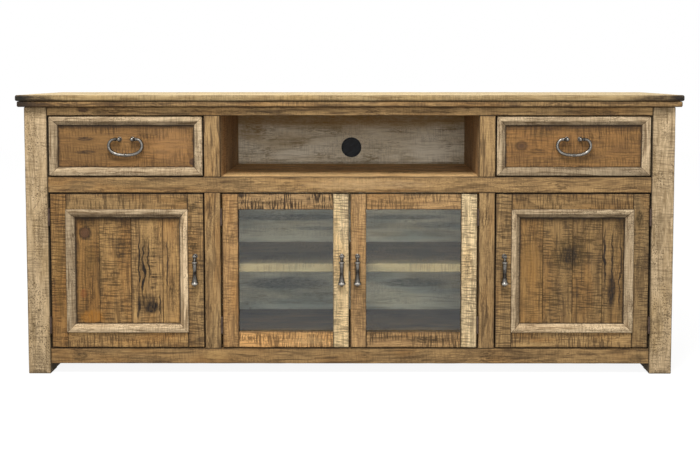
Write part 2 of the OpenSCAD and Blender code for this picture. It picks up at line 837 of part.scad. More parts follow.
// Wooden blocks under the middle deck that carry the catches
module catch_blocks() {
    half = catch_w / 2 + catch_block_margin;
    back = catch_block_y + catch_block_d;
    color(plain_wood) {
        block([-glass_catch_x - half, catch_block_y, catch_block_z],
              [glass_catch_x + half, back, mid_deck_z]);
        both_sides() block([panel_catch_x - half, catch_block_y, catch_block_z],
                           [panel_catch_x + half, back, mid_deck_z]);
    }
}

// Magnets on the fronts of the blocks
module magnet_catches() {
    color(zinc) both_sides() for (x = [panel_catch_x, glass_catch_x]) {
        block([x - catch_w / 2, catch_y, catch_z - catch_h / 2],
              [x + catch_w / 2, catch_block_y, catch_z + catch_h / 2]);
    }
}

// Four members of a right-hand door: two full-height stiles with two rails between them
module door_members(x, wide, member) {
    far_x = x + wide;
    far_z = door_z + door_h;
    standing_member([x, face_y, door_z], [x + member, door_back_y, far_z], member_edge_r);
    standing_member([far_x - member, face_y, door_z], [far_x, door_back_y, far_z], member_edge_r);
    for (z = [door_z, far_z - member]) {
        lying_member([x + member, face_y, z], [far_x - member, door_back_y, z + member], member_edge_r);
    }
}

// Frame of a right-hand panelled door, grooved for its planks
module panel_door_frame() {
    reach = panel_member_w - door_plank_tongue;
    plank_y = face_y + door_plank_setback;
    color(brown_wood) difference() {
        door_members(panel_door_x, panel_door_w, panel_member_w);
        block([panel_door_x + reach, plank_y, door_z + reach],
              [panel_door_x + panel_door_w - reach, plank_y + door_plank_t, door_z + door_h - reach]);
    }
}

// Planks of a right-hand panelled door, set out from its hinge side
module panel_door_planks(w) {
    reach = panel_member_w - door_plank_tongue;
    span = panel_door_w - 2 * reach;
    count = plank_count(span, w);
    hinge_x = panel_door_x + panel_door_w - reach;
    plank_y = face_y + door_plank_setback;
    color(honey_wood) for (i = [0 : count - 1]) {
        block([hinge_x - (i < count - 1 ? w * (i + 1) - plank_seam : span), plank_y, door_z + reach],
              [hinge_x - w * i, plank_y + door_plank_t, door_z + door_h - reach]);
    }
}

// Moulding of a right-hand panelled door, over the joint between frame and planks
module panel_door_moulding() {
    edge = panel_member_w - moulding_lap;
    color(pale_wood)
        moulding_frame(panel_door_x + edge, door_z + edge, panel_door_w - 2 * edge, door_h - 2 * edge,
                       face_y, door_moulding_proud, moulding_lap, door_plank_setback);
}

// Frame of a right-hand glazed door, rabbeted from the back
module glass_door_frame() {
    reach = glass_member_w - glass_rabbet;
    color(honey_wood) difference() {
        door_members(glass_door_x, glass_door_w, glass_member_w);
        block([glass_door_x + reach, face_y + glass_setback, door_z + reach],
              [glass_door_x + glass_door_w - reach, door_back_y + over, door_z + door_h - reach]);
    }
}

// Pane of a right-hand glazed door
module glass_door_pane() {
    reach = glass_member_w - glass_rabbet + glass_edge_gap;
    pane_y = face_y + glass_setback;
    color("#9fb0ad", 0.5)
        block([glass_door_x + reach, pane_y, door_z + reach],
              [glass_door_x + glass_door_w - reach, pane_y + glass_t, door_z + door_h - reach]);
}

// Beads that hold the pane in its rabbet
module glass_door_beads() {
    reach = glass_member_w - glass_rabbet;
    x = glass_door_x + reach;
    far_x = glass_door_x + glass_door_w - reach;
    z = door_z + reach;
    far_z = door_z + door_h - reach;
    y = face_y + glass_setback + glass_t;
    color(honey_wood) {
        block([x, y, z], [x + glass_rabbet, door_back_y, far_z]);
        block([far_x - glass_rabbet, y, z], [far_x, door_back_y, far_z]);
        block([x + glass_rabbet, y, z], [far_x - glass_rabbet, door_back_y, z + glass_rabbet]);
        block([x + glass_rabbet, y, far_z - glass_rabbet], [far_x - glass_rabbet, door_back_y, far_z]);
    }
}

// Rod along X, centred on the origin
module cross_rod(r, len) {
    translate([-len / 2, 0, 0]) rotate([0, 90, 0]) cylinder(r = r, h = len);
}

// Rosette with two ears, and the pin through them
module pull_mount(x) {
    inner = tongue_t / 2 + tongue_gap;
    span = 2 * (inner + ear_t);
    ear_y = pull_stand - rosette_t;
    color(pewter) translate([x, pull_y, pull_z]) {
        difference() {
            union() {
                translate([0, ear_y, 0]) rotate([-90, 0, 0]) cylinder(r = rosette_r, h = rosette_t);
                for (side = [-inner - ear_t, inner]) {
                    translate([side, 0, 0]) rotate([0, 90, 0]) cylinder(r = ear_r, h = ear_t);
                    block([side, 0, -0.8 * ear_r], [side + ear_t, ear_y, 0.8 * ear_r]);
                }
            }
            cross_rod(pull_pin_r + pin_seat_clear, span + 2 * over);
        }
        cross_rod(pull_pin_r, span);
    }
}

// Radii down a drop pull, as [height below the pin, radius]
pendant_collar_foot = pendant_collar_drop + pendant_collar_h;
pendant_stations = [
    [ear_r + pendant_neck_gap, pendant_neck_r],
    [pendant_collar_drop - pendant_cone_h, pendant_neck_r],
    [pendant_collar_drop, pendant_collar_r],
    [pendant_collar_foot, pendant_collar_r],
    [pendant_collar_foot + pendant_neck_gap, pendant_shaft_r],
    [0.5 * pendant_len, pendant_shaft_r],
    [0.74 * pendant_len, 1.3 * pendant_shaft_r],
    [0.88 * pendant_len, pendant_flare_r],
    [0.915 * pendant_len, 0.95 * pendant_flare_r],
    [0.965 * pendant_len, 0.5 * pendant_flare_r],
    [pendant_len, 0.2 * pendant_flare_r]
];

// Smooth step from a to b as t goes from 0 to 1
function eased(a, b, t) = a + (b - a) * (1 - cos(180 * t)) / 2;

// Outline of a turned piece through its stations, which are [depth, radius]
function turned_outline(st, steps) = [
    for (i = [0 : len(st) - 2]) for (k = [0 : steps - 1])
        [eased(st[i][1], st[i + 1][1], k / steps), -st[i][0] - (st[i + 1][0] - st[i][0]) * k / steps]
];

// Drop pull: a tongue on the pin, a collar and a shaft that flares to its foot
module drop_pull(x) {
    last = len(pendant_stations) - 1;
    outline = turned_outline(pendant_stations, 4);
    foot = [[pendant_stations[last][1], -pendant_len], [0, -pendant_len]];
    color(pewter) translate([x, pull_y, pull_z]) difference() {
        union() {
            cross_rod(tongue_r, tongue_t);
            block([-tongue_t / 2, -pendant_neck_r, pendant_cone_h - pendant_collar_drop],
                  [tongue_t / 2, pendant_neck_r, 0]);
            rotate_extrude() polygon(concat([[0, -pendant_stations[0][0]]], outline, foot));
        }
        cross_rod(pull_pin_r + pull_clear, tongue_t + 2 * over);
    }
}

// Front board of a right-hand drawer
module drawer_front() {
    color(honey_wood)
        lying_member([drawer_x, drawer_y, drawer_z],
                     [drawer_x + drawer_w, box_y, drawer_z + drawer_h], member_edge_r);
}

// Moulding round a right-hand drawer front
module drawer_moulding() {
    color(pale_wood)
        moulding_frame(drawer_x, drawer_z, drawer_w, drawer_h, drawer_y, drawer_moulding_proud, 0, 0);
}

// Box of a right-hand drawer: two sides, a front and a back between them, and a bottom in their grooves
module drawer_box() {
    far_x = box_x + box_w;
    in_x = box_x + drawer_wall_t;
    in_far_x = far_x - drawer_wall_t;
    in_y = box_y + drawer_wall_t;
    in_back_y = box_back_y - drawer_wall_t;
    far_z = box_z + drawer_box_h;
    bottom_from = [in_x - drawer_bottom_tongue, in_y - drawer_bottom_tongue, box_z + drawer_bottom_up];
    bottom_to = [in_far_x + drawer_bottom_tongue, in_back_y + drawer_bottom_tongue,
                 box_z + drawer_bottom_up + drawer_bottom_t];
    color(plain_wood) {
        difference() {
            union() {
                block([box_x, box_y, box_z], [in_x, box_back_y, far_z]);
                block([in_far_x, box_y, box_z], [far_x, box_back_y, far_z]);
                block([in_x, box_y, box_z], [in_far_x, in_y, far_z]);
                block([in_x, in_back_y, box_z], [in_far_x, box_back_y, far_z]);
            }
            block(bottom_from, bottom_to);
        }
        block(bottom_from, bottom_to);
    }
}

// Inner channels of a right-hand drawer's slides
module drawer_slides() {
    inner_lip = slide_gap - slide_air - slide_steel_t;
    color(zinc) {
        channel(box_x, -1, inner_lip, slide_inner_h);
        channel(box_x + box_w, 1, inner_lip, slide_inner_h);
    }
}

// Two posts that carry a right-hand drawer's bail
module bail_posts() {
    stem = bail_stand - bail_rosette_t;
    color(pewter) for (side = [-1, 1]) {
        translate([bail_x + side * bail_spacing / 2, bail_y, bail_z]) difference() {
            union() {
                rotate([0, 0, 45]) sphere(bail_ball_r);
                rotate([-90, 0, 0]) cylinder(r = bail_stem_r, h = stem);
                translate([0, stem, 0]) rotate([-90, 0, 0]) cylinder(r = bail_rosette_r, h = bail_rosette_t);
            }
            translate([side * (bail_ball_r + over - bail_hole_depth / 2 - over / 2), 0, 0])
                cross_rod(bail_pin_r + bail_clear, bail_hole_depth + over);
        }
    }
}

// Bail of a right-hand drawer: a bar bent to a loop, hung by two pins in the balls
module bail() {
    post = bail_spacing / 2;
    bend_x = bail_half_w - bail_upper_r;
    low_x = bail_half_w - bail_lower_r;
    ferrule_x = post + bail_ball_r + ferrule_gap;
    pin_x = post + bail_ball_r - bail_hole_depth + ferrule_gap;
    low_z = -bail_upper_r - bail_lower_r;
    color(pewter) translate([bail_x, bail_y, bail_z]) union() {
        both_sides() {
            translate([pin_x, 0, 0]) rotate([0, 90, 0])
                cylinder(r = bail_pin_r, h = ferrule_x - pin_x + over);
            translate([ferrule_x, 0, 0]) rotate([0, 90, 0])
                cylinder(r = ferrule_r, h = bend_x - ferrule_x);
            translate([bend_x, 0, -bail_upper_r]) rotate([90, 0, 0])
                rotate_extrude(angle = 90) translate([bail_upper_r, 0]) circle(bail_bar_r);
            translate([low_x, 0, -bail_upper_r]) rotate([90, 0, 0]) rotate([0, 0, -90])
                rotate_extrude(angle = 90) translate([bail_lower_r, 0]) circle(bail_bar_r);
        }
        translate([0, 0, low_z]) cross_rod(bail_bar_r, 2 * low_x);
        translate([0, 0, low_z]) cross_rod(bail_bar_r + bail_bead_step, bail_bead_len);
    }
}

// Left-hand and right-hand pieces of the doors and drawers
module left_panel_door_frame() mirror([1, 0, 0]) panel_door_frame();
module left_panel_door_planks() mirror([1, 0, 0]) panel_door_planks(left_door_plank_w);
module left_panel_door_moulding() mirror([1, 0, 0]) panel_door_moulding();
module left_panel_door_hinge_leaves() mirror([1, 0, 0]) door_iron(panel_axis_x, panel_catch_x);
module left_panel_door_pull_mount() mirror([1, 0, 0]) pull_mount(panel_pull_x);
module left_panel_door_pull() mirror([1, 0, 0]) drop_pull(panel_pull_x);
module right_panel_door_frame() panel_door_frame();
module right_panel_door_planks() panel_door_planks(right_door_plank_w);
module right_panel_door_moulding() panel_door_moulding();
module right_panel_door_hinge_leaves() door_iron(panel_axis_x, panel_catch_x);
module right_panel_door_pull_mount() pull_mount(panel_pull_x);
module right_panel_door_pull() drop_pull(panel_pull_x);
module left_glass_door_frame() mirror([1, 0, 0]) glass_door_frame();
module left_glass_door_pane() mirror([1, 0, 0]) glass_door_pane();
module left_glass_door_beads() mirror([1, 0, 0]) glass_door_beads();
module left_glass_door_hinge_leaves() mirror([1, 0, 0]) door_iron(glass_axis_x, glass_catch_x);
module left_glass_door_pull_mount() mirror([1, 0, 0]) pull_mount(glass_pull_x);
module left_glass_door_pull() mirror([1, 0, 0]) drop_pull(glass_pull_x);
module right_glass_door_frame() glass_door_frame();
module right_glass_door_pane() glass_door_pane();
module right_glass_door_beads() glass_door_beads();
module right_glass_door_hinge_leaves() door_iron(glass_axis_x, glass_catch_x);
module right_glass_door_pull_mount() pull_mount(glass_pull_x);
module right_glass_door_pull() drop_pull(glass_pull_x);
module left_drawer_front() mirror([1, 0, 0]) drawer_front();
module left_drawer_moulding() mirror([1, 0, 0]) drawer_moulding();
module left_drawer_box() mirror([1, 0, 0]) drawer_box();
module left_drawer_slides() mirror([1, 0, 0]) drawer_slides();
module left_drawer_bail_posts() mirror([1, 0, 0]) bail_posts();
module left_drawer_bail() mirror([1, 0, 0]) bail();
module right_drawer_front() drawer_front();
module right_drawer_moulding() drawer_moulding();
module right_drawer_box() drawer_box();
module right_drawer_slides() drawer_slides();
module right_drawer_bail_posts() bail_posts();
module right_drawer_bail() bail();

top_planks();
sub_top();
front_posts();
rear_posts();
side_rails();
side_panels();
front_rails();
front_stiles();
rear_rail();
partitions();
mid_deck();
bottom_deck();
back_panels();
back_panel_screws();
grommet_ring();
grommet_cap();
shelves();
shelf_pins();
drawer_runners();
slide_channels();
hinge_frame_leaves();
catch_blocks();
magnet_catches();
left_panel_door_frame();
left_panel_door_planks();
left_panel_door_moulding();
left_panel_door_hinge_leaves();
left_panel_door_pull_mount();
left_panel_door_pull();
right_panel_door_frame();
right_panel_door_planks();
right_panel_door_moulding();
right_panel_door_hinge_leaves();
right_panel_door_pull_mount();
right_panel_door_pull();
left_glass_door_frame();
left_glass_door_pane();
left_glass_door_beads();
left_glass_door_hinge_leaves();
left_glass_door_pull_mount();
left_glass_door_pull();
right_glass_door_frame();
right_glass_door_pane();
right_glass_door_beads();
right_glass_door_hinge_leaves();
right_glass_door_pull_mount();
right_glass_door_pull();
left_drawer_front();
left_drawer_moulding();
left_drawer_box();
left_drawer_slides();
left_drawer_bail_posts();
left_drawer_bail();
right_drawer_front();
right_drawer_moulding();
right_drawer_box();
right_drawer_slides();
right_drawer_bail_posts();
right_drawer_bail();
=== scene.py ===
"""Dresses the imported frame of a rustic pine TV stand.

Rough-sawn boards, mitred mouldings, glazed doors and pewter pulls are built here in code. Sizes are in
millimetres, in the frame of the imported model, and each mesh is turned to metres as it is made.
"""

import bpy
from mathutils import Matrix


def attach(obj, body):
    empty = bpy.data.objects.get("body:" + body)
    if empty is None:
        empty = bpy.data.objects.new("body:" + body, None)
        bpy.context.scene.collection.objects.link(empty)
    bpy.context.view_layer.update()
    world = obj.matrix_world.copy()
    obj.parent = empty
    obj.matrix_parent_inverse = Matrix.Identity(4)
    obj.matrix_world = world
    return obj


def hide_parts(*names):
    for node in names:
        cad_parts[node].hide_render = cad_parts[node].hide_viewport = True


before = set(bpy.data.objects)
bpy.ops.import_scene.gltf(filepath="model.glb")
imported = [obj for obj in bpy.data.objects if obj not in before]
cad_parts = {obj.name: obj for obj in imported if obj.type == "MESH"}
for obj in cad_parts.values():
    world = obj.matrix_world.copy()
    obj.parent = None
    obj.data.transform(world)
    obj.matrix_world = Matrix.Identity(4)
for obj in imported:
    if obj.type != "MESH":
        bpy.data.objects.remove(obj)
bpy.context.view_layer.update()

import functools
import logging
import math
import random
from dataclasses import dataclass, replace
from enum import Enum
from typing import Any, ClassVar, Optional, Union

import bmesh
import bpy
import numpy as np
from mathutils import Vector

log = logging.getLogger("tv_stand")

MM = 0.001
Socket = bpy.types.NodeSocket
Tree = bpy.types.NodeTree
Point = tuple[float, float, float]
Inputs = Union[dict[Any, Any], tuple[Any, ...]]

# Names of the kinds of node that are used most.
MATH = "ShaderNodeMath"
VECTOR = "ShaderNodeVectorMath"
RANGE = "ShaderNodeMapRange"
SPLIT = "ShaderNodeSeparateXYZ"
NOISE = "ShaderNodeTexNoise"
PLACE = "ShaderNodeTexCoord"
MARKED = "ShaderNodeAttribute"


class Side(Enum):
    """The half of the stand that a door or a drawer belongs to, seen from the front."""

    LEFT = -1
    RIGHT = 1

    @property
    def word(self) -> str:
        """The side as it stands in the names of bodies and nodes."""
        return self.name.lower()


class Run(Enum):
    """The direction in which the grain of a board runs."""

    X = 0
    Y = 1
    Z = 2


class Grain(Enum):
    """Where a finish reads the direction of the grain."""

    BOARDS = "from the boards' own attributes"
    ALONG_X = "along X over the whole piece"
    ALONG_Z = "along Z over the whole piece"


def linear(hex_colour: str) -> tuple[float, float, float, float]:
    """Turns a colour as it is seen into the linear colour that shaders take.

    Args:
        hex_colour: sRGB colour such as "#9a7751".

    Returns:
        Linear red, green, blue and an alpha of 1.
    """
    parts = [int(hex_colour[i:i + 2], 16) / 255 for i in (1, 3, 5)]
    red, green, blue = (p / 12.92 if p <= 0.04045 else ((p + 0.055) / 1.055) ** 2.4 for p in parts)
    return red, green, blue, 1.0


def add(tree: Tree, kind: str, inputs: Inputs = (), out: Any = 0, **settings: Any) -> Socket:
    """Adds a node with its settings and links.

    Args:
        tree: Node tree to build in.
        kind: Name of the kind of node.
        inputs: Value or linked socket for each input, by name or else in the node's order.
        out: Name or number of the output that is wanted.
        **settings: Properties of the node.

    Returns:
        The wanted output of the new node.
    """
    node = tree.nodes.new(kind)
    for name, value in settings.items():
        setattr(node, name, value)
    for key, value in (inputs.items() if isinstance(inputs, dict) else enumerate(inputs)):
        if isinstance(value, Socket):
            tree.links.new(value, node.inputs[key])
        else:
            node.inputs[key].default_value = value
    return node.outputs[out]


def start_material(name: str) -> tuple[bpy.types.Material, Tree]:
    """Starts an empty node material.

    Args:
        name: Name of the finish.

    Returns:
        The material and its node tree.
    """
    material = bpy.data.materials.new(name)
    material.use_nodes = True
    material.node_tree.nodes.clear()
    return material, material.node_tree


def end_material(tree: Tree, surface: Socket, output: str = "ShaderNodeOutputMaterial") -> None:
    """Links a shader to the output of its material or world.

    Args:
        tree: Node tree of the material or world.
        surface: Shader that shows.
        output: Kind of the output node.
    """
    tree.links.new(surface, tree.nodes.new(output).inputs["Surface"])


def patches(tree: Tree, where: Socket, size_mm: tuple[float, float], low: float, high: float,
            detail: float = 2.0) -> Socket:
    """Soft-edged irregular patches of a real size.

    Args:
        tree: Node tree to build in.
        where: Coordinates in metres: along the grain, across it and into the board.
        size_mm: Length of a patch along the grain and its width across it.
        low: Cloud value at which a patch begins.
        high: Cloud value from which a patch is full.
        detail: How much finer detail the patches' edges have.

    Returns:
        0 outside the patches and 1 inside them.
    """
    along, across = (1 / (size * MM) for size in size_mm)
    scaled = add(tree, VECTOR, (where, (along, across, across)), operation="MULTIPLY")
    cloudy = add(tree, NOISE, {"Vector": scaled, "Scale": 1.0, "Detail": detail})
    return add(tree, RANGE, {"Value": cloudy, "From Min": low, "From Max": high},
               interpolation_type="SMOOTHSTEP")


def lay_coats(tree: Tree, colour: Any, *coats: tuple[Any, ...]) -> Socket:
    """Lays coats of stain one over another.

    Args:
        tree: Node tree to build in.
        colour: Linear colour or socket of what lies below.
        *coats: The sRGB hex colour of a coat, and then the masks and amounts that it goes through.

    Returns:
        The colour with all the coats.
    """
    for stain, share, *masks in coats:
        for mask in masks:
            share = add(tree, MATH, (share, mask), operation="MULTIPLY")
        colour = add(tree, "ShaderNodeMix", {0: share, 6: colour, 7: linear(stain)}, out=2,
                     data_type="RGBA")
    return colour


@dataclass(frozen=True)
class Blot:
    """A knot, a smudge, a crack or a stain on the front of the stand, in mm from the middle and the floor.

    Attributes:
        strength: How much of its colour it gives.
        knot: Whether it has a heart and rings.
        lined: How closely it keeps to the saw marks.
        fray: How ragged its edge is, as a share of its size.
        sway: How far a crack wanders sideways, in mm.
    """

    x: float
    z: float
    half_w: float
    half_h: float
    colour: str
    strength: float = 0.7
    knot: bool = False
    lined: float = 0.0
    fray: float = 1.3
    sway: float = 0.0


@dataclass(frozen=True)
class Collar:
    """The painted shadow line where a panel meets the moulding round it, in mm from the middle and the floor.

    The painted shade reaches inwards from each edge, and its own edge is rippled.
    """

    x0: float
    x1: float
    z0: float
    z1: float
    side_reach: float = 10.0
    top_reach: float = 22.0
    bottom_reach: float = 5.0
    ripple_mm: float = 14.0
    ripple_depth: float = 7.0


# Colours that all the pine finishes share: the heart of a knot, and the near-black of the painted shadow line
# round a panel.
KNOT_HEART = "#70503a"
DEEP_CREVICE = "#1d140b"


@dataclass(frozen=True)
class SawnPine:
    """Rough-sawn pine, rubbed with dark wax: growth rings, saw marks across the grain and dark edges.

    Attributes:
        light, mid, dark: Colours of the early wood, the ground, and the late wood, streaks and grime.
        soot, amber: Colours of the wax in cuts and corners, and of places that are rich in resin.
        ring_mm: Width of a year's growth.
        rings, fibre, bloom, glow, streaks, grime, grit: How strongly each of them shows.
        saw, band, chatter, pits: The same for the fine, the regular and the short saw marks and the pits.
        sawn_from: Noise value where the fine marks begin, so a lower one covers more of a board.
        wear: How dark worn edges are, and the painted shade in the coves of mouldings.
        soot, amber: Colours of the wax in cuts and corners and of painted shade, and of places that are rich
            in resin.
        blots, collar: Marks at fixed places, and the painted shadow line round a panel.
    """

    name: str
    light: str
    mid: str
    dark: str
    soot: str
    amber: str = "#a8773c"
    ring_mm: float = 7.0
    rings: float = 0.35
    fibre: float = 0.7
    bloom: float = 0.4
    glow: float = 0.35
    streaks: float = 0.55
    grime: float = 0.55
    grit: float = 0.24
    saw: float = 0.3
    sawn_from: float = 0.38
    band: float = 0.1
    chatter: float = 0.0
    pits: float = 0.3
    wear: float = 0.85
    roughness: float = 0.72
    relief_mm: float = 0.9
    blots: tuple[Blot, ...] = ()
    collar: Optional[Collar] = None
    grain: Grain = Grain.BOARDS

    def _grain(self, tree: Tree) -> Socket:
        """Finds which way the grain runs.

        Args:
            tree: Node tree to build in.

        Returns:
            Coordinates in metres: along the grain, across it and into the board.
        """
        if self.grain is Grain.BOARDS:
            return add(tree, MARKED, out="Vector", attribute_name="grain")
        place = add(tree, PLACE, out="Object")
        x, y, z = (add(tree, SPLIT, (place,), out=axis) for axis in "XYZ")
        along, across, deep = (x, z, y) if self.grain is Grain.ALONG_X else (z, y, x)
        return add(tree, "ShaderNodeCombineXYZ", (along, across, deep))

    def _board_tone(self, tree: Tree, colour: Socket) -> Socket:
        """Gives each board its own depth and warmth of colour.

        Args:
            tree: Node tree to build in.
            colour: Colour of the finish before the boards differ.

        Returns:
            The colour with the board's tone.
        """
        if self.grain is not Grain.BOARDS:
            return colour
        look = add(tree, MARKED, out="Vector", attribute_name="look")
        tone, warmth = (add(tree, SPLIT, (look,), out=axis) for axis in "XY")
        # A warm board reflects more red and less blue than the finish, and a cool board the other way round.
        shift = add(tree, VECTOR, (warmth, (0.16, -0.02, -0.3), (1.0, 1.0, 1.0)), operation="MULTIPLY_ADD")
        shifted = add(tree, VECTOR, (colour, shift), operation="MULTIPLY")
        return add(tree, VECTOR, {0: shifted, "Scale": tone}, operation="SCALE")

    def _shaken(self, tree: Tree, where: Socket, reach: float, scale: float, detail: float,
                roughness: float = 0.5) -> Socket:
        """Moves coordinates to and fro by noise, so that an outline gets ragged.

        Args:
            tree: Node tree to build in.
            where: Coordinates.
            reach: How far they move from end to end, in the coordinates' own unit.
            scale: Waves of the noise to that unit.
            detail: How much finer detail the noise has.
            roughness: How strong that detail is.

        Returns:
            The moved coordinates.
        """
        noise = add(tree, NOISE, {"Vector": where, "Scale": scale, "Detail": detail, "Roughness": roughness},
                    out="Color")
        moved = add(tree, VECTOR, (noise, (reach,) * 3, where), operation="MULTIPLY_ADD")
        return add(tree, VECTOR, (moved, (reach / 2,) * 3), operation="SUBTRACT")

    def _marked_side(self, tree: Tree) -> Socket:
        """Finds the front, and the 100 mm beside it round each end, where a blot may show.

        Args:
            tree: Node tree to build in.

        Returns:
            1 on the front and 0 on the top and the back.
        """
        normal = add(tree, PLACE, out="Normal")
        across, deep = (add(tree, SPLIT, (normal,), out=axis) for axis in "XY")
        place = add(tree, PLACE, out="Object")
        depth = add(tree, SPLIT, (place,), out="Y")
        near_front = add(tree, RANGE, {"Value": depth, "From Min": -120 * MM, "From Max": -220 * MM})
        end = add(tree, MATH, (across,), operation="ABSOLUTE")
        end = add(tree, MATH, (end, near_front), operation="MULTIPLY")
        facing = add(tree, MATH, (end, deep), operation="SUBTRACT")
        return add(tree, RANGE, {"Value": facing, "From Min": 0.0, "From Max": 0.35})

    def _blot(self, tree: Tree, colour: Socket, blot: Blot, lines: Socket, dry: Socket,
              front: Socket) -> Socket:
        """Lays one knot or smudge over the colour.

        Args:
            tree: Node tree to build in.
            colour: Colour so far.
            blot: The knot or smudge.
            lines: Mask of the saw marks, which a smudge can follow.
            dry: Mask of the raised fibres that a stain catches on.
            front: Mask of the side that blots show on.

        Returns:
            The colour with the blot.
        """
        place = add(tree, PLACE, out="Object")
        if blot.sway:
            # A crack wanders sideways by some millimetres every 45 mm as it runs up the plank.
            slow = add(tree, NOISE, {"Vector": place, "Scale": 22.0, "Detail": 3.0}, out="Color")
            place = add(tree, VECTOR, (slow, (2 * blot.sway * MM, 0.0, 0.0), place),
                        operation="MULTIPLY_ADD")
        scale = (1 / (blot.half_w * MM), 0.0, 1 / (blot.half_h * MM))
        offset = (-(blot.x + blot.sway) / blot.half_w, 0.0, -blot.z / blot.half_h)
        local = add(tree, VECTOR, (place, scale, offset), operation="MULTIPLY_ADD")
        # A knot is nearly round with a firm edge, while a smudge frays and fades over half of its size.
        frayed, solid = (0.3, 0.8) if blot.knot else (blot.fray, 0.45)
        centred = self._shaken(tree, local, frayed, 1.7, 4.0, 0.65)
        flat = add(tree, VECTOR, (centred, (1.0, 0.0, 1.0)), operation="MULTIPLY")
        reach = add(tree, VECTOR, (flat,), out="Value", operation="LENGTH")
        mask = add(tree, RANGE, {"Value": reach, "From Min": 1.0, "From Max": solid},
                   interpolation_type="SMOOTHSTEP")
        # A scorched place with a firm edge is dark all over, and a loose smudge catches on the fibres.
        caught = add(tree, RANGE, {"Value": dry, "To Min": 1 - 0.45 * min(1.0, blot.fray), "To Max": 1.0})
        if not blot.knot:
            kept = add(tree, RANGE, {"Value": lines, "To Min": 1 - blot.lined, "To Max": 1.0})
            return lay_coats(tree, colour, (blot.colour, mask, caught, kept, front, blot.strength))
        # A knot's heart is redder, its rings are faint, and the bark round it is a dark line.
        heart = add(tree, RANGE, {"Value": reach, "From Min": 0.75, "From Max": 0.1})
        rings = add(tree, MATH, (reach, 0.16), operation="PINGPONG")
        rings = add(tree, RANGE, {"Value": rings, "From Min": 0.09, "From Max": 0.16})
        near = add(tree, RANGE, {"Value": reach, "From Min": 0.66, "From Max": 0.9})
        far = add(tree, RANGE, {"Value": reach, "From Min": 1.3, "From Max": 0.98})
        return lay_coats(tree, colour, (blot.colour, mask, front, blot.strength),
                         (KNOT_HEART, heart, front, 0.55), (self.soot, rings, mask, front, 0.3),
                         (self.soot, near, far, caught, front, 0.85))

    def _collared(self, tree: Tree, colour: Socket, collar: Collar) -> Socket:
        """Paints a shadow on the panel along the inside of its moulding.

        Args:
            tree: Node tree to build in.
            colour: Colour so far.
            collar: The rectangle where the moulding ends.

        Returns:
            The colour with the dark line round it.
        """
        place = add(tree, PLACE, out="Object")
        moved = self._shaken(tree, place, collar.ripple_depth * MM, 1 / (collar.ripple_mm * MM), 3.0)
        x, z = (add(tree, SPLIT, (moved,), out=axis) for axis in "XZ")
        x = add(tree, MATH, (x,), operation="ABSOLUTE")
        borders = ((x, collar.x0, collar.side_reach), (x, collar.x1, -collar.side_reach),
                   (z, collar.z0, collar.bottom_reach), (z, collar.z1, -collar.top_reach))
        mask: Any = 0.0
        for axis, start, reach in borders:
            near = add(tree, RANGE,
                       {"Value": axis, "From Min": (start + reach) * MM, "From Max": start * MM},
                       interpolation_type="SMOOTHSTEP")
            mask = add(tree, MATH, (mask, near), operation="MAXIMUM")
        # The painted shadow fades over 5 to 22 mm, and its last millimetres are painted nearly black.
        tip = add(tree, MATH, (mask, 4.0), operation="POWER")
        return lay_coats(tree, colour, (self.soot, mask, 0.62), (DEEP_CREVICE, tip, 0.8))

    def _saw_marks(self, tree: Tree, run: Socket, wander: Socket, marks: Any) -> tuple[Socket, list[Socket]]:
        """Marks of the saw across the grain.

        Args:
            tree: Node tree to build in.
            run: Grain coordinates.
            wander: Slow noise by which the blade wandered.
            marks: How marked the board is.

        Returns:
            The plain lines, and the masks of the fine, the strong and the short marks.
        """
        # The saw left fine marks a millimetre or two apart, across the grain and a little aslant. They are
        # drawn 3.8 mm apart so that they show.
        slope = add(tree, VECTOR, (run, (1.0, 0.03, 0.0)), out="Value", operation="DOT_PRODUCT")
        across, deep = (add(tree, SPLIT, (run,), out=axis) for axis in "YZ")
        aslant = add(tree, "ShaderNodeCombineXYZ", (slope, across, deep))
        lines = patches(tree, aslant, (3.8, 48), 0.48, 0.58, 1.0)
        sawn = patches(tree, run, (110, 45), self.sawn_from, self.sawn_from + 0.16)
        # A worn tooth of the band saw left a stronger mark at each turn, 8.5 mm apart.
        wandered = add(tree, MATH, (wander, 2.5), operation="MULTIPLY")
        turn = add(tree, MATH, (slope, 1 / (8.5 * MM), wandered), operation="MULTIPLY_ADD")
        since = add(tree, MATH, (turn, 0.5), operation="PINGPONG")
        tooth = add(tree, RANGE, {"Value": since, "From Min": 0.16, "From Max": 0.05},
                    interpolation_type="SMOOTHSTEP")
        toothed = patches(tree, run, (55, 26), 0.45, 0.6, 4.0)
        # Chatter marks are short and deep, where the saw jumped.
        ticks = patches(tree, aslant, (3.4, 12), 0.55, 0.62, 1.0)
        jumped = patches(tree, run, (60, 24), 0.48, 0.6, 4.0)
        masks = []
        for share, *factors in ((lines, sawn, marks, self.saw), (tooth, toothed, marks, self.band),
                                (ticks, jumped, marks, self.chatter)):
            for factor in factors:
                share = add(tree, MATH, (share, factor), operation="MULTIPLY")
            masks.append(share)
        return lines, masks

    def build(self) -> bpy.types.Material:
        """Makes the material.

        Returns:
            The finished material.
        """
        material, tree = start_material(self.name)
        run = self._grain(tree)
        # The rings wander by a few millimetres over a hand's length, as they do round branches.
        waves = tuple(1 / (size * MM) for size in (150, 45, 45))
        around = add(tree, VECTOR, (run, waves), operation="MULTIPLY")
        slow = {"Vector": around, "Scale": 1.0, "Detail": 1.5}
        wander = add(tree, NOISE, slow)
        stray = add(tree, NOISE, slow, out="Color")
        bent = add(tree, VECTOR, (stray, (0.0, 0.014, 0.014), run), operation="MULTIPLY_ADD")
        radial = add(tree, VECTOR, (bent, (0.0, 1.0, 1.0)), operation="MULTIPLY")
        radius = add(tree, VECTOR, (radial,), out="Value", operation="LENGTH")
        count = add(tree, MATH, (radius, 1 / (self.ring_mm * MM)), operation="MULTIPLY")
        # Late wood darkens slowly towards the end of each year's growth, and then stops short.
        year = add(tree, MATH, (count,), operation="FRACT")
        late = add(tree, MATH, (year, 3.0), operation="POWER")
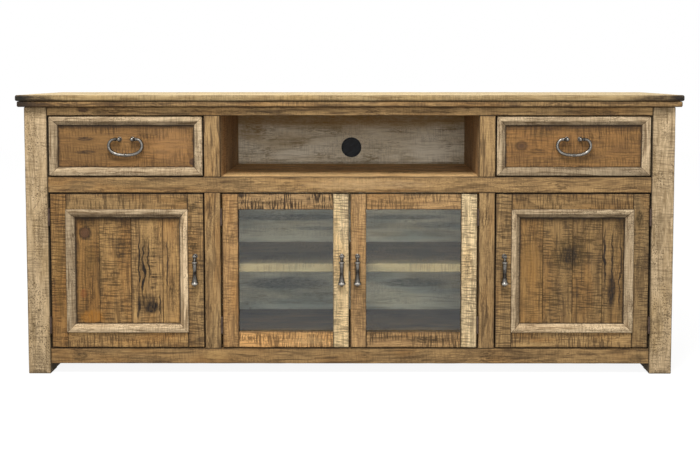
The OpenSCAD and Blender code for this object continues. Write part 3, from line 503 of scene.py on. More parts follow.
        # Fibres are finer than a millimetre, and are drawn 3 mm wide so that they show.
        fibre = patches(tree, bent, (55, 3), 0.38, 0.62)
        hair = patches(tree, bent, (90, 6), 0.5, 0.66, 3.0)
        bloom = patches(tree, run, (170, 50), 0.42, 0.62, 3.0)
        glow = patches(tree, run, (230, 70), 0.46, 0.64)
        streak = patches(tree, bent, (130, 9), 0.54, 0.66, 4.0)
        grime = patches(tree, run, (75, 32), 0.52, 0.68, 5.0)
        dry = patches(tree, bent, (16, 3.4), 0.44, 0.57)
        pits = patches(tree, run, (4, 2.6), 0.6, 0.68, 0.0)
        pitted = patches(tree, run, (120, 35), 0.45, 0.6)
        marks: Any = 1.0
        if self.grain is Grain.BOARDS:
            look = add(tree, MARKED, out="Vector", attribute_name="look")
            marks = add(tree, SPLIT, (look,), out="Z")
        lines, cuts = self._saw_marks(tree, run, wander, marks)
        cuts.append(add(tree, MATH, (pits, pitted), operation="MULTIPLY"))
        colour = lay_coats(
            tree, linear(self.mid), (self.light, fibre, self.fibre), (self.dark, dry, self.grit),
            (self.amber, glow, self.glow), (self.light, bloom, self.bloom), (self.dark, late, self.rings),
            (self.dark, hair, 0.6 * self.streaks), (self.dark, streak, self.streaks),
            (self.dark, grime, dry, self.grime), (self.soot, cuts[0]), (self.soot, cuts[1]),
            (self.soot, cuts[2]), (self.soot, cuts[3], self.pits))
        colour = self._board_tone(tree, colour)
        if self.blots:
            front = self._marked_side(tree)
            for blot in self.blots:
                colour = self._blot(tree, colour, blot, lines, dry, front)
        if self.collar:
            colour = self._collared(tree, colour, self.collar)
        if self.grain is Grain.BOARDS:
            # Wax gathers along worn edges, more in some places than in others, and fills the very corner. On
            # a moulding the same marks are also painted shade in its coves and at its lip.
            edge = add(tree, MARKED, out="Fac", attribute_name="edge")
            rubbed = patches(tree, run, (60, 30), 0.3, 0.6, 3.0)
            worn = add(tree, MATH, (edge, 3.2), operation="POWER")
            corner = add(tree, RANGE, {"Value": edge, "From Min": 0.82, "From Max": 1.0})
            colour = lay_coats(tree, colour, (self.soot, worn, rubbed, self.wear),
                               (self.soot, corner, self.wear))
        depth = cuts[0]
        for cut in cuts[1:]:
            depth = add(tree, MATH, (depth, cut), operation="MAXIMUM")
        for pattern, amount in ((late, 0.18), (fibre, -0.15)):
            depth = add(tree, MATH, (pattern, amount, depth), operation="MULTIPLY_ADD")
        bump = add(tree, "ShaderNodeBump",
                   {"Height": depth, "Strength": 0.7, "Distance": self.relief_mm * MM}, invert=True)
        rough = add(tree, RANGE,
                    {"Value": fibre, "To Min": self.roughness - 0.08, "To Max": self.roughness + 0.1})
        surface = add(tree, "ShaderNodeBsdfPrincipled",
                      {"Base Color": colour, "Roughness": rough, "Normal": bump, "Specular IOR Level": 0.3})
        end_material(tree, surface)
        return material


@dataclass(frozen=True)
class CastMetal:
    """Cast or pressed metal with a dull skin: brighter where it is rubbed and where a highlight is painted
    on, darker in its pores.
    """

    name: str
    bright: str
    dull: str
    metallic: float
    roughness: float
    pore_mm: float = 1.6
    relief_mm: float = 0.15

    def build(self) -> bpy.types.Material:
        """Makes the material.

        Returns:
            The finished material.
        """
        material, tree = start_material(self.name)
        place = add(tree, PLACE, out="Object")
        tarnish = patches(tree, place, (9, 9), 0.35, 0.65, 3.0)
        pores = patches(tree, place, (self.pore_mm, self.pore_mm), 0.55, 0.72)
        # Hands rub the bulges bright, the front is made bright as a painted highlight, and the rest stays
        # dull.
        rubbed = add(tree, MARKED, out="Fac", attribute_name="edge")
        spared = add(tree, MATH, (1.0, rubbed), operation="SUBTRACT")
        aged = add(tree, RANGE, {"Value": tarnish, "To Min": 0.75, "To Max": 1.0})
        colour = lay_coats(tree, linear(self.bright), (self.dull, aged, spared), (self.dull, pores))
        rough = add(tree, RANGE,
                    {"Value": tarnish, "To Min": self.roughness - 0.06, "To Max": self.roughness + 0.14})
        bump = add(tree, "ShaderNodeBump",
                   {"Height": pores, "Strength": 0.5, "Distance": self.relief_mm * MM}, invert=True)
        surface = add(tree, "ShaderNodeBsdfPrincipled",
                      {"Base Color": colour, "Roughness": rough, "Normal": bump, "Metallic": self.metallic})
        end_material(tree, surface)
        return material


@dataclass(frozen=True)
class FloatGlass:
    """Drawn 3 mm window glass: a faint grey-green body, and bright reflections at a flat angle."""

    name: str
    body: str
    filmed: str
    roughness: float = 0.02
    ior: float = 1.48

    def build(self) -> bpy.types.Material:
        """Makes the material.

        Returns:
            The finished material.
        """
        material, tree = start_material(self.name)
        place = add(tree, PLACE, out="Object")
        # Old glass is wavy over about 60 mm, and its bluish film lies in wide level wipes, partly dust and
        # partly a painted reflection.
        waves = patches(tree, place, (60, 60), 0.0, 1.0)
        wipes = patches(tree, place, (260, 55), 0.4, 0.68, 3.0)
        tint = lay_coats(tree, linear(self.body), (self.filmed, wipes, 0.8))
        bump = add(tree, "ShaderNodeBump", {"Height": waves, "Strength": 0.25, "Distance": 0.4 * MM})
        glass = add(tree, "ShaderNodeBsdfPrincipled",
                    {"Base Color": tint, "Roughness": self.roughness, "IOR": self.ior,
                     "Transmission Weight": 1.0, "Normal": bump})
        # Light passes straight through, so that the shelf behind the pane isn't in its shadow.
        clear = add(tree, "ShaderNodeBsdfTransparent", {"Color": linear(self.body)})
        shadow = add(tree, "ShaderNodeLightPath", out="Is Shadow Ray")
        end_material(tree, add(tree, "ShaderNodeMixShader", (shadow, glass, clear)))
        return material


@dataclass(frozen=True)
class MouldedPlastic:
    """Injection-moulded ABS with a fine slanting texture: matt, with soft highlights."""

    name: str
    body: str
    dusty: str
    roughness: float = 0.55

    def build(self) -> bpy.types.Material:
        """Makes the material.

        Returns:
            The finished material.
        """
        material, tree = start_material(self.name)
        place = add(tree, PLACE, out="Object")
        slant = add(tree, "ShaderNodeVectorRotate", {0: place, "Angle": math.radians(35)},
                    rotation_type="Y_AXIS")
        # The mould's slanting scratches are about 0.3 mm wide, and are drawn 2.5 mm wide so that they show.
        scratched = patches(tree, slant, (26, 2.5), 0.42, 0.62)
        dust = patches(tree, place, (14, 14), 0.45, 0.75, 3.0)
        colour = lay_coats(tree, linear(self.body), (self.dusty, scratched, 0.55), (self.dusty, dust, 0.3))
        bump = add(tree, "ShaderNodeBump", {"Height": scratched, "Strength": 0.3, "Distance": 0.2 * MM})
        surface = add(tree, "ShaderNodeBsdfPrincipled",
                      {"Base Color": colour, "Roughness": self.roughness, "Normal": bump,
                       "Specular IOR Level": 0.25})
        end_material(tree, surface)
        return material


Finish = Union[SawnPine, CastMetal, FloatGlass, MouldedPlastic]

# The scorched ends of the top.
TOP_BLOTS = (
    Blot(-930, 808, 110, 15, "#35281a", 0.95, fray=0.6), Blot(-900, 803, 120, 5, "#2f2415", 0.8, fray=0.5),
    Blot(-968, 811, 62, 46, "#080a06", 1.0, fray=0.3), Blot(915, 808, 130, 16, "#3a2c1c", 0.9, fray=0.6),
    Blot(964, 809, 54, 36, "#120d08", 1.0, fray=0.35),
)
# Waxed top planks: pale cream and silky from above, browner and charred at the ends.
TOP_PINE = SawnPine(
    "sawn_pine_top", light="#ecd8ac", mid="#d2b989", dark="#94794e", soot="#4c3823", amber="#d9b877",
    ring_mm=9, rings=0.3, grime=0.3, grit=0.16, chatter=0.15, blots=TOP_BLOTS)
# Long smudges up the posts, with darker feet and heads.
POST_BLOTS = (
    Blot(-902, 412, 14, 105, "#6d5b40", 0.45, lined=0.5), Blot(905, 425, 16, 90, "#6d5b40", 0.45, lined=0.5),
    Blot(-912, 52, 26, 34, "#8a7555", 0.35), Blot(-914, 5, 34, 9, "#54442e", 0.6),
    Blot(914, 5, 34, 9, "#54442e", 0.6), Blot(-912, 770, 34, 22, "#7d6849", 0.5),
    Blot(912, 770, 34, 22, "#7d6849", 0.5),
)
# Grey-tan posts, pitted and cross-cut: the driest and palest wood of the front.
POST_PINE = SawnPine(
    "sawn_pine_posts", light="#e3c79e", mid="#bfa37b", dark="#806a49", soot="#4c3c26", amber="#c2a06a",
    ring_mm=10, rings=0.3, bloom=0.5, grime=0.4, grit=0.26, saw=0.35, band=0.3, chatter=0.3, pits=0.7,
    wear=0.55, roughness=0.85, blots=POST_BLOTS)
# Wax along the rails, with rubbed places between.
RAIL_BLOTS = (
    Blot(-966, 793, 58, 30, "#150f09", 1.0, fray=0.35), Blot(-915, 790, 90, 14, "#35271a", 0.75, fray=0.6),
    Blot(-560, 560, 200, 20, "#6b5636", 0.35), Blot(-773, 777, 22, 10, "#38231a", 0.9, fray=0.6),
    Blot(-700, 770, 60, 10, "#41301c", 0.7, fray=0.9), Blot(-300, 770, 130, 9, "#41301c", 0.65, fray=0.9),
    Blot(230, 772, 150, 8, "#41301c", 0.6, fray=0.9), Blot(690, 770, 110, 9, "#41301c", 0.6, fray=0.9),
    Blot(-500, 782, 120, 6, "#c9a267", 0.5), Blot(480, 777, 90, 7, "#c9a267", 0.5),
    Blot(-792, 52, 30, 20, "#40301c", 0.65), Blot(845, 46, 32, 18, "#40301c", 0.65),
    Blot(-392, 56, 48, 17, "#c9a267", 0.6), Blot(520, 52, 70, 14, "#4f3c24", 0.4),
    Blot(-782, 560, 60, 19, "#665136", 0.65), Blot(-330, 558, 60, 15, "#6b5637", 0.4),
    Blot(60, 560, 240, 20, "#c9a676", 0.6), Blot(330, 562, 60, 14, "#755c3a", 0.4),
)
# Honey-brown rails with long dark wax streaks along the grain.
RAIL_PINE = SawnPine(
    "sawn_pine_rails", light="#c8a36e", mid="#93744b", dark="#523d25", soot="#2f2011", streaks=0.75,
    grime=0.75, saw=0.32, band=0.25, chatter=0.3, blots=RAIL_BLOTS)
# The knot, cracks and scorched gouges of both panels.
PLANK_BLOTS = (
    Blot(-776, 416, 17, 18, "#573a25", 0.85, knot=True), Blot(-772, 450, 30, 20, "#3f2d18", 0.7),
    Blot(-782, 237, 13, 18, "#8f4f26", 0.55), Blot(-756, 168, 44, 26, "#ad742b", 0.7),
    Blot(-734, 300, 10, 90, "#4a3820", 0.6), Blot(-760, 340, 22, 50, "#55401f", 0.5, fray=0.8),
    Blot(-672, 369, 26, 46, "#3a2b18", 0.8, lined=0.4), Blot(-692, 267, 40, 40, "#55401f", 0.5, lined=0.9),
    Blot(-604, 310, 22, 125, "#4a3820", 0.5, fray=0.9),
    Blot(-618, 325, 3.2, 110, "#170f09", 1.0, fray=0.35, sway=9),
    Blot(-606, 300, 4.5, 130, "#170f09", 1.0, fray=0.35, sway=16),
    Blot(-590, 330, 3.0, 95, "#1f150c", 1.0, fray=0.35, sway=12),
    Blot(-576, 300, 14, 90, "#1f150c", 0.85, lined=0.95), Blot(-592, 205, 42, 40, "#2a1d11", 0.75, fray=0.7),
    Blot(-580, 196, 26, 24, "#170f09", 1.0, fray=0.7),
    Blot(-620, 195, 5, 48, "#170f09", 0.95, fray=0.4, sway=10),
    Blot(-560, 205, 3.5, 44, "#1f150c", 0.9, fray=0.4, sway=14),
    Blot(-536, 330, 3, 120, "#34251a", 0.95, fray=0.35, sway=8), Blot(-523, 252, 14, 36, "#43321d", 0.7),
    Blot(-530, 410, 26, 30, "#b98d57", 0.4), Blot(646, 356, 74, 66, "#3a2c14", 0.7, fray=0.9),
    Blot(644, 352, 34, 34, "#20170b", 0.85, fray=0.8), Blot(702, 404, 62, 30, "#4a3619", 0.6, lined=0.6),
    Blot(748, 345, 4.5, 115, "#1c120a", 1.0, fray=0.35, sway=14),
    Blot(770, 330, 3.5, 130, "#21160c", 0.95, fray=0.35, sway=10),
    Blot(770, 245, 15, 66, "#1c120a", 1.0, fray=0.5),
    Blot(793, 300, 3.5, 140, "#2b1e12", 0.95, fray=0.35, sway=12),
    Blot(752, 226, 22, 50, "#2b1e12", 0.85, lined=0.85, fray=1.0),
    Blot(584, 223, 52, 42, "#55401f", 0.5, lined=0.9), Blot(700, 200, 60, 44, "#4f3c22", 0.55, lined=0.7),
    Blot(530, 330, 40, 80, "#a97f45", 0.45), Blot(790, 440, 22, 26, "#3a2b18", 0.6),
)
# Panel planks: warm brown, cross-hatched by the saw, with a red-brown knot, scorched gouges and a painted
# shadow line inside the moulding.
PLANK_PINE = SawnPine(
    "sawn_pine_panels", light="#bc9862", mid="#93734a", dark="#554026", soot="#2b1e12", streaks=0.65,
    grime=0.6, saw=0.6, band=0.4, chatter=0.35, glow=0.4, collar=Collar(497, 804, 148, 462),
    blots=PLANK_BLOTS)
# Dashes, a small knot and lighter places on the drawer fronts.
DRAWER_BLOTS = (
    Blot(-760, 670, 100, 70, "#7a5a33", 0.4, fray=0.8), Blot(-771, 692, 34, 8, "#33251a", 0.85, fray=0.9),
    Blot(-771, 653, 40, 7, "#33251a", 0.85, fray=0.9), Blot(-546, 653, 32, 8, "#3d2c1b", 0.75, fray=0.9),
    Blot(-457, 624, 15, 13, "#33211f", 0.9, fray=0.6), Blot(-515, 675, 80, 66, "#b98a58", 0.4),
    Blot(-556, 715, 60, 16, "#a27a4c", 0.4), Blot(501, 671, 16, 13, "#50351e", 0.8, knot=True),
    Blot(501, 671, 9, 8, "#33201a", 0.9, fray=0.5), Blot(501, 671, 36, 22, "#6b4d2c", 0.5, fray=0.7),
    Blot(548, 655, 40, 12, "#43301a", 0.65), Blot(548, 715, 60, 16, "#3d2a16", 0.42, lined=1.0),
    Blot(760, 700, 80, 26, "#3d2a16", 0.42, lined=1.0), Blot(-560, 706, 74, 24, "#3d2a16", 0.45, lined=1.0),
    Blot(-705, 716, 60, 15, "#3d2a16", 0.42, lined=1.0), Blot(-490, 640, 36, 34, "#3d2a16", 0.42, lined=1.0),
    Blot(560, 705, 46, 12, "#55401f", 0.5), Blot(700, 640, 60, 12, "#4a351e", 0.5),
    Blot(770, 690, 44, 22, "#a87a45", 0.4),
)
# Drawer fronts: the reddest brown, closely rubbed with wax, with short scorched dashes and a painted shadow
# line inside the moulding.
DRAWER_PINE = SawnPine(
    "sawn_pine_drawers", light="#a47d4b", mid="#825f38", dark="#553d22", soot="#2e1f10", amber="#9d6f3c",
    fibre=0.6, bloom=0.3, streaks=0.45, grime=0.35, saw=0.5, band=0.6, chatter=0.2, pits=0.1,
    collar=Collar(453, 850, 609, 732), blots=DRAWER_BLOTS)
# Smudges on the rails of the glazed doors.
GLAZED_BLOTS = (
    Blot(225, 102, 68, 14, "#3f2f1b", 0.8, fray=1.0), Blot(150, 505, 60, 14, "#5b4529", 0.4),
    Blot(-180, 505, 110, 14, "#4c3823", 0.5, lined=0.7), Blot(-120, 100, 60, 14, "#d0aa74", 0.4),
)
# Glazed door frames: light tan and strongly chattered, so they look striped.
GLAZED_PINE = SawnPine(
    "sawn_pine_glazed_doors", light="#c8a06b", mid="#9a7850", dark="#5a452b", soot="#332414", grime=0.45,
    saw=0.7, band=0.6, chatter=0.55, blots=GLAZED_BLOTS)
# Scorched corners of the panelled doors.
BROWN_BLOTS = (
    Blot(846, 458, 15, 36, "#33260f", 0.8), Blot(846, 300, 16, 70, "#3a2c17", 0.6, lined=0.7),
    Blot(-455, 495, 17, 13, "#33260f", 0.8, fray=0.8), Blot(-455, 378, 18, 14, "#33260f", 0.7, fray=0.8),
    Blot(-490, 512, 34, 10, "#33260f", 0.6), Blot(455, 420, 16, 60, "#3a2c17", 0.55, lined=0.7),
    Blot(-850, 300, 16, 160, "#80602f", 0.4),
)
# Frames of the panelled doors: duller brown, hatched by the saw and scorched at the corners.
BROWN_PINE = SawnPine(
    "sawn_pine_door_frames", light="#b59463", mid="#8b6d45", dark="#4f3a22", soot="#2b1d11", streaks=0.5,
    grime=0.5, saw=0.6, sawn_from=0.33, band=0.3, chatter=0.26, blots=BROWN_BLOTS)
# Dry-brushed mouldings: cream over brown, so they stand out pale with dark coves and mitres; the coves' dark
# is partly painted shade.
MOULDING_PINE = SawnPine(
    "dry_brushed_moulding", light="#e6cca4", mid="#b89f7d", dark="#70583a", soot="#3a2a18",
    amber="#c7a67a", ring_mm=6, rings=0.25, bloom=0.5, glow=0.25, streaks=0.7, saw=0.25, chatter=0.2,
    pits=0.5, roughness=0.8)
# Planed pine inside: plain, pale and smooth.
INNER_PINE = SawnPine(
    "planed_pine_inside", light="#dcc8a2", mid="#c2ac84", dark="#9c8052", soot="#6d5532", amber="#d3b27a",
    rings=0.3, streaks=0.25, grime=0.1, grit=0.14, saw=0.2, band=0.05, pits=0.1, wear=0.0,
    roughness=0.65)
# Deck boards: brown and streaked along the stand.
DECK_PINE = SawnPine(
    "sawn_pine_decks", light="#937349", mid="#6a4f31", dark="#33240f", soot="#22170b", rings=0.5,
    streaks=0.9, grime=0.8, chatter=0.1, grain=Grain.ALONG_X)
# Partitions: the same brown, streaked upwards, so the niche has dark warm cheeks.
PARTITION_PINE = SawnPine(
    "sawn_pine_partitions", light="#caa577", mid="#a88458", dark="#5a4328", soot="#3a2a18", streaks=0.6,
    band=0.2, chatter=0.1, grain=Grain.ALONG_Z)
# Brown and grey bands on the back, behind the niche and behind the glass, most of them painted light and
# shade.
WASH_BLOTS = (
    # The brown band along the top of the niche is partly stain and partly painted shade.
    Blot(0, 750, 900, 62, "#9a773f", 0.85, fray=0.3), Blot(-330, 700, 60, 60, "#9a773f", 0.5, fray=0.9),
    # A painted shade line where the niche floor meets the back, then bands of painted shade and painted light
    # behind the glass.
    Blot(0, 583, 800, 7, "#5a4830", 0.5, fray=0.5), Blot(-190, 400, 220, 15, "#3a3827", 0.85, fray=0.6),
    Blot(-260, 372, 90, 8, "#f4ecd8", 0.5, fray=0.8), Blot(-110, 364, 110, 9, "#3a3827", 0.6, fray=0.8),
    Blot(-190, 330, 230, 12, "#f4ecd8", 0.7, fray=0.6), Blot(190, 402, 180, 12, "#3a3827", 0.75, fray=0.6),
    Blot(280, 376, 110, 14, "#3a3827", 0.6, fray=0.8), Blot(120, 358, 110, 10, "#f4ecd8", 0.45, fray=0.8),
    Blot(190, 328, 230, 12, "#f4ecd8", 0.75, fray=0.6), Blot(-200, 150, 230, 70, "#55533f", 0.5, fray=0.6),
    Blot(-220, 178, 190, 26, "#24221a", 0.9, fray=0.7), Blot(-110, 140, 110, 9, "#57553f", 0.6, fray=0.8),
    Blot(-190, 100, 240, 9, "#f4ecd8", 0.7, fray=0.6), Blot(210, 180, 150, 20, "#2f2d20", 0.75, fray=0.7),
    Blot(130, 140, 140, 10, "#e9dfc5", 0.45, fray=0.8), Blot(190, 102, 240, 8, "#f4ecd8", 0.7, fray=0.6),
)
# Washed plywood: a thin grey-white wash that lets brown through in soft bands, under the painted light and
# shade above.
WASHED_PLY = SawnPine(
    "grey_washed_ply", light="#f8f0dc", mid="#e4d7bb", dark="#8f7c5a", soot="#5a4830", amber="#bda67b",
    ring_mm=14, rings=0.05, fibre=0.5, bloom=0.6, glow=0.5, streaks=0.4, grime=0.6, grit=0.14, saw=0.15,
    band=0.0, roughness=0.8, grain=Grain.ALONG_X, blots=WASH_BLOTS)
# Planed runners: plain pine strips.
PLAIN_RUNNER = SawnPine(
    "planed_pine_runners", light="#d8c294", mid="#c3aa7a", dark="#9c8052", soot="#6d5532", streaks=0.2,
    grime=0.1, grit=0.14, saw=0.2, band=0.0, pits=0.1, grain=Grain.ALONG_X)
# Cast pewter: nearly black in its hollows, and on its sides as painted shade; soft silver where fingers rub
# it, and on its front as a painted highlight.
PEWTER = CastMetal("cast_pewter", bright="#a49f97", dull="#241f1b", metallic=1.0, roughness=0.32)
# Browned iron: dark brown-grey with barely a sheen.
HINGE_IRON = CastMetal("browned_hinge_iron", bright="#7d685b", dull="#43342b", metallic=0.6, roughness=0.5)
# Zinc plate: even bluish silver.
ZINC_STEEL = CastMetal(
    "zinc_plated_steel", bright="#c9ccce", dull="#8f9496", metallic=1.0, roughness=0.32, pore_mm=3.0,
    relief_mm=0.05)
# Float glass: what lies behind it looks a little greener and darker, and bluish in wipes that are partly a
# painted reflection.
GLASS = FloatGlass("float_glass", body="#ecf0ec", filmed="#bccad2")
# Black ABS: a matt, slightly dusty black disc.
BLACK_PLASTIC = MouldedPlastic("black_abs", body="#14171b", dusty="#2c3138")


@functools.cache
def material_of(finish: Finish) -> bpy.types.Material:
    """Builds a finish when it is first asked for.

    Args:
        finish: One of the finishes above.

    Returns:
        Its material.
    """
    return finish.build()


def dress_nodes(finish: Finish, *names: str) -> None:
    """Gives a finish to CAD nodes that keep their shape.

    Args:
        finish: Finish for the nodes.
        *names: Names of the nodes.
    """
    for name in names:
        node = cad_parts[name]
        node.data.materials.clear()
        node.data.materials.append(material_of(finish))
        log.info("node %s keeps its shape and gets %s", name, finish.name)


def cloud(points: np.ndarray, cell: float, seed: int) -> np.ndarray:
    """Smooth noise over points, the same on every run.

    Args:
        points: Points in mm, one row each.
        cell: Size in mm over which the noise changes.
        seed: Number that picks the pattern.

    Returns:
        One value from 0 to 1 for each point.
    """
    scaled = points / cell + seed * 7.13
    base = np.floor(scaled).astype(np.int64)
    part = scaled - base
    part = part * part * (3 - 2 * part)
    total = np.zeros(len(points))
    for corner in range(8):
        bits = np.array([corner & 1, corner >> 1 & 1, corner >> 2 & 1])
        cellpos = base + bits
        mixed = (cellpos[:, 0] * 374761393 + cellpos[:, 1] * 668265263 + cellpos[:, 2] * 2147483629
                 + seed * 97531) & 0xFFFFFFFF
        mixed = ((mixed ^ (mixed >> 13)) * 1274126177) & 0xFFFFFFFF
        value = ((mixed ^ (mixed >> 16)) & 0xFFFFFF) / 0xFFFFFF
        weight = np.prod(np.where(bits, part, 1 - part), axis=1)
        total += value * weight
    return total


# A rounded arris takes up at most this share of a board's thickness, so that two of them fit.
ROUND_LIMIT = 0.49


@dataclass
class Shell:
    """Points, faces and attributes of one solid, in mm, before it is joined into a piece."""

    points: np.ndarray
    faces: list[tuple[int, ...]]
    grain: np.ndarray
    look: np.ndarray
    edge: np.ndarray


@dataclass
class Board:
    """One board: a box between two corners, its worn edges and the way its grain runs.

    Attributes:
        round_mm: Radius of the arrises.
        tone, warmth, marks: Brightness and redness over the finish's own, and strength of the saw marks.
        wobble_mm: How far the faces wander inwards.
        dent_mm: Depth of the dents along the arrises.
        step_mm: Distance between points across the middle of a face.
        wear_mm: How far from the arrises the dark wax reaches.
        end_tone, front_tone, inner_tone, rim_tone: Tone of the end grain, the front, the side that looks to
            the middle of the stand, and all sides but the front and the back, as shares of the board's. The
            last two darken faces as painted shade.
    """

    low: Point
    high: Point
    run: Run
    round_mm: float = 1.5
    tone: float = 1.0
    warmth: float = 0.0
    marks: float = 1.0
    wobble_mm: float = 0.35
    dent_mm: float = 0.5
    step_mm: float = 16.0
    wear_mm: float = 7.0
    end_tone: float = 0.55
    front_tone: float = 1.0
    inner_tone: float = 1.0
    rim_tone: float = 1.0

    def mirrored(self, side: Side) -> "Board":
        """Puts a board that is written for the right-hand half of the stand on either half.

        Args:
            side: The half that the board goes to.

        Returns:
            The board itself, or its mirror image.
        """
        if side is Side.RIGHT:
            return self
        return replace(self, low=(-self.high[0], *self.low[1:]), high=(-self.low[0], *self.high[1:]))

    def _stations(self, axis: int) -> np.ndarray:
        """Places of the lattice along one axis: close together at the worn edges.

        Args:
            axis: 0, 1 or 2 for X, Y or Z.

        Returns:
            Places in mm, rising.
        """
        low, high = self.low[axis], self.high[axis]
        half = (high - low) / 2
        radius = min(self.round_mm, ROUND_LIMIT * (high - low))
        wear = self.wear_mm
        near = [d for d in (0.0, 0.35 * radius, radius, radius + 0.35 * wear, wear + radius)
                if d < 0.92 * half or d <= radius]
        inner = near[-1]
        gap = (high - inner) - (low + inner)
        # Along the grain a board changes more slowly.
        step = self.step_mm * (1.6 if axis == self.run.value else 1.0)
        count = max(1, round(gap / step)) if gap > 0.5 else 0
        middle = [low + inner + gap * i / count for i in range(1, count)] if count else []
        return np.array([low + d for d in near] + middle + [high - d for d in reversed(near)])

    def _lattice(self) -> tuple[np.ndarray, list[tuple[int, ...]]]:
        """Covers the board's six sides with a lattice.

        Returns:
            Points in mm, and faces as rows of point numbers.
        """
        axes = [np.unique(np.round(self._stations(axis), 4)) for axis in range(3)]
        counts = [len(a) for a in axes]
        grid = np.stack(np.meshgrid(*axes, indexing="ij"), axis=-1)
        index = np.indices(counts)
        on_skin = np.zeros(counts, bool)
        for axis in range(3):
            on_skin |= (index[axis] == 0) | (index[axis] == counts[axis] - 1)
        ids = np.full(counts, -1)
        ids[on_skin] = np.arange(on_skin.sum())
        faces: list[tuple[int, ...]] = []
        for axis in range(3):
            for end, forward in ((0, False), (counts[axis] - 1, True)):
                sheet = np.take(ids, end, axis=axis)
                a, b, c, d = sheet[:-1, :-1], sheet[1:, :-1], sheet[1:, 1:], sheet[:-1, 1:]
                quads = np.stack([a, b, c, d], axis=-1).reshape(-1, 4)
                if forward is (axis == 1):
                    quads = quads[:, ::-1]
                faces.extend(map(tuple, quads.tolist()))
        return grid[on_skin], faces

    def _grain(self, flat: np.ndarray, chance: random.Random) -> np.ndarray:
        """Picks where in a log the board was sawn.

        Args:
            flat: Points of the board in mm.
            chance: Source of the board's random numbers.

        Returns:
            For each point, in mm, how far it lies along the log and from the pith in two directions.
        """
        run = self.run.value
        low, high = np.array(self.low), np.array(self.high)
        sizes, middle = high - low, (low + high) / 2
        wide, thin = sorted((a for a in range(3) if a != run), key=lambda a: -sizes[a])
        along = flat[:, run] - middle[run]
        lean_across, lean_deep = chance.uniform(-0.025, 0.025), chance.uniform(-0.02, 0.02)
        pith_across = chance.uniform(-0.45, 0.45) * sizes[wide]
        pith_deep = chance.uniform(25, 90) * chance.choice((-1, 1))
        across = flat[:, wide] - middle[wide] - pith_across - lean_across * along
        deep = flat[:, thin] - middle[thin] - pith_deep - lean_deep * along
        shift = chance.uniform(2000, 12000)
        return np.stack([along + shift, across, deep], axis=1)

    def _look(self, outward: np.ndarray) -> np.ndarray:
        """Shades the board's sides.

        Args:
            outward: Direction out of the board at each point.

        Returns:
            Tone, warmth and strength of the saw marks at each point.
        """
        look = np.tile((self.tone, self.warmth, self.marks), (len(outward), 1))
        # End grain drinks more stain than the rest. The front takes a tone of its own: darker on the top's
        # first plank, and lighter on the shelf's first stave as a painted highlight.
        look[:, 0] *= 1 - (1 - self.end_tone) * np.abs(outward[:, self.run.value]) ** 2
        front = np.clip(-outward[:, 1], 0, 1)
        look[:, 0] *= 1 - (1 - self.front_tone) * front
        if self.front_tone < 1:
            look[:, 1] += 0.6 * front
        # A face that looks to the middle of the stand is darkened, as painted shade. On the posts it shows
        # near the floor.
        to_middle = -np.sign((self.low[0] + self.high[0]) / 2) * outward[:, 0]
        look[:, 0] *= 1 - (1 - self.inner_tone) * np.clip(to_middle, 0, 1)
        # The narrow faces inside the gaps round a door, a drawer or a pane are darkened, as painted shade.
        look[:, 0] *= 1 - (1 - self.rim_tone) * (1 - np.abs(outward[:, 1]))
        return look

    def shell(self, seed: int) -> Shell:
        """Builds the board's surface with rounded, dented edges.

        Args:
            seed: Number that picks the board's wobble and grain.

        Returns:
            The board's points, faces and attributes.
        """
        flat, faces = self._lattice()
        low, high = np.array(self.low), np.array(self.high)
        radius = min(self.round_mm, ROUND_LIMIT * float((high - low).min()))
        core = np.clip(flat, low + radius, high - radius)
        outward = flat - core
        outward /= np.linalg.norm(outward, axis=1, keepdims=True)
        # The second smallest distance to a side is the distance to the nearest arris.
        reach = np.sort(np.minimum(flat - low, high - flat), axis=1)[:, 1]
        edge = np.clip(1 - reach / (self.wear_mm + radius), 0, 1)
        coarse = cloud(flat, 70, seed) * 0.6 + cloud(flat, 26, seed + 1) * 0.4
        chips = np.clip(cloud(flat, 17, seed + 2) - 0.55, 0, 1) * 2.2
        inward = self.wobble_mm * coarse + self.dent_mm * chips * edge ** 3
        points = core + outward * (radius - inward)[:, None]
        return Shell(points, faces, self._grain(flat, random.Random(seed)), self._look(outward), edge)


def four_boards(x: tuple[float, float], y: tuple[float, float], z: tuple[float, float], stile: float,
                rail: float) -> list[Board]:
    """Four boards round an opening, of which the upright ones run through.

    Args:
        x: Left and right side of the rectangle that they fill.
        y: Its front and back.
        z: Its lower and upper side.
        stile: Width of the upright boards.
        rail: Height of the level boards.

    Returns:
        The left, right, top and bottom board.
    """
    x0, x1, z0, z1 = *x, *z
    return [
        Board((x0, y[0], z0), (x0 + stile, y[1], z1), Run.Z),
        Board((x1 - stile, y[0], z0), (x1, y[1], z1), Run.Z),
        Board((x0 + stile, y[0], z1 - rail), (x1 - stile, y[1], z1), Run.X),
        Board((x0 + stile, y[0], z0), (x1 - stile, y[1], z0 + rail), Run.X),
    ]


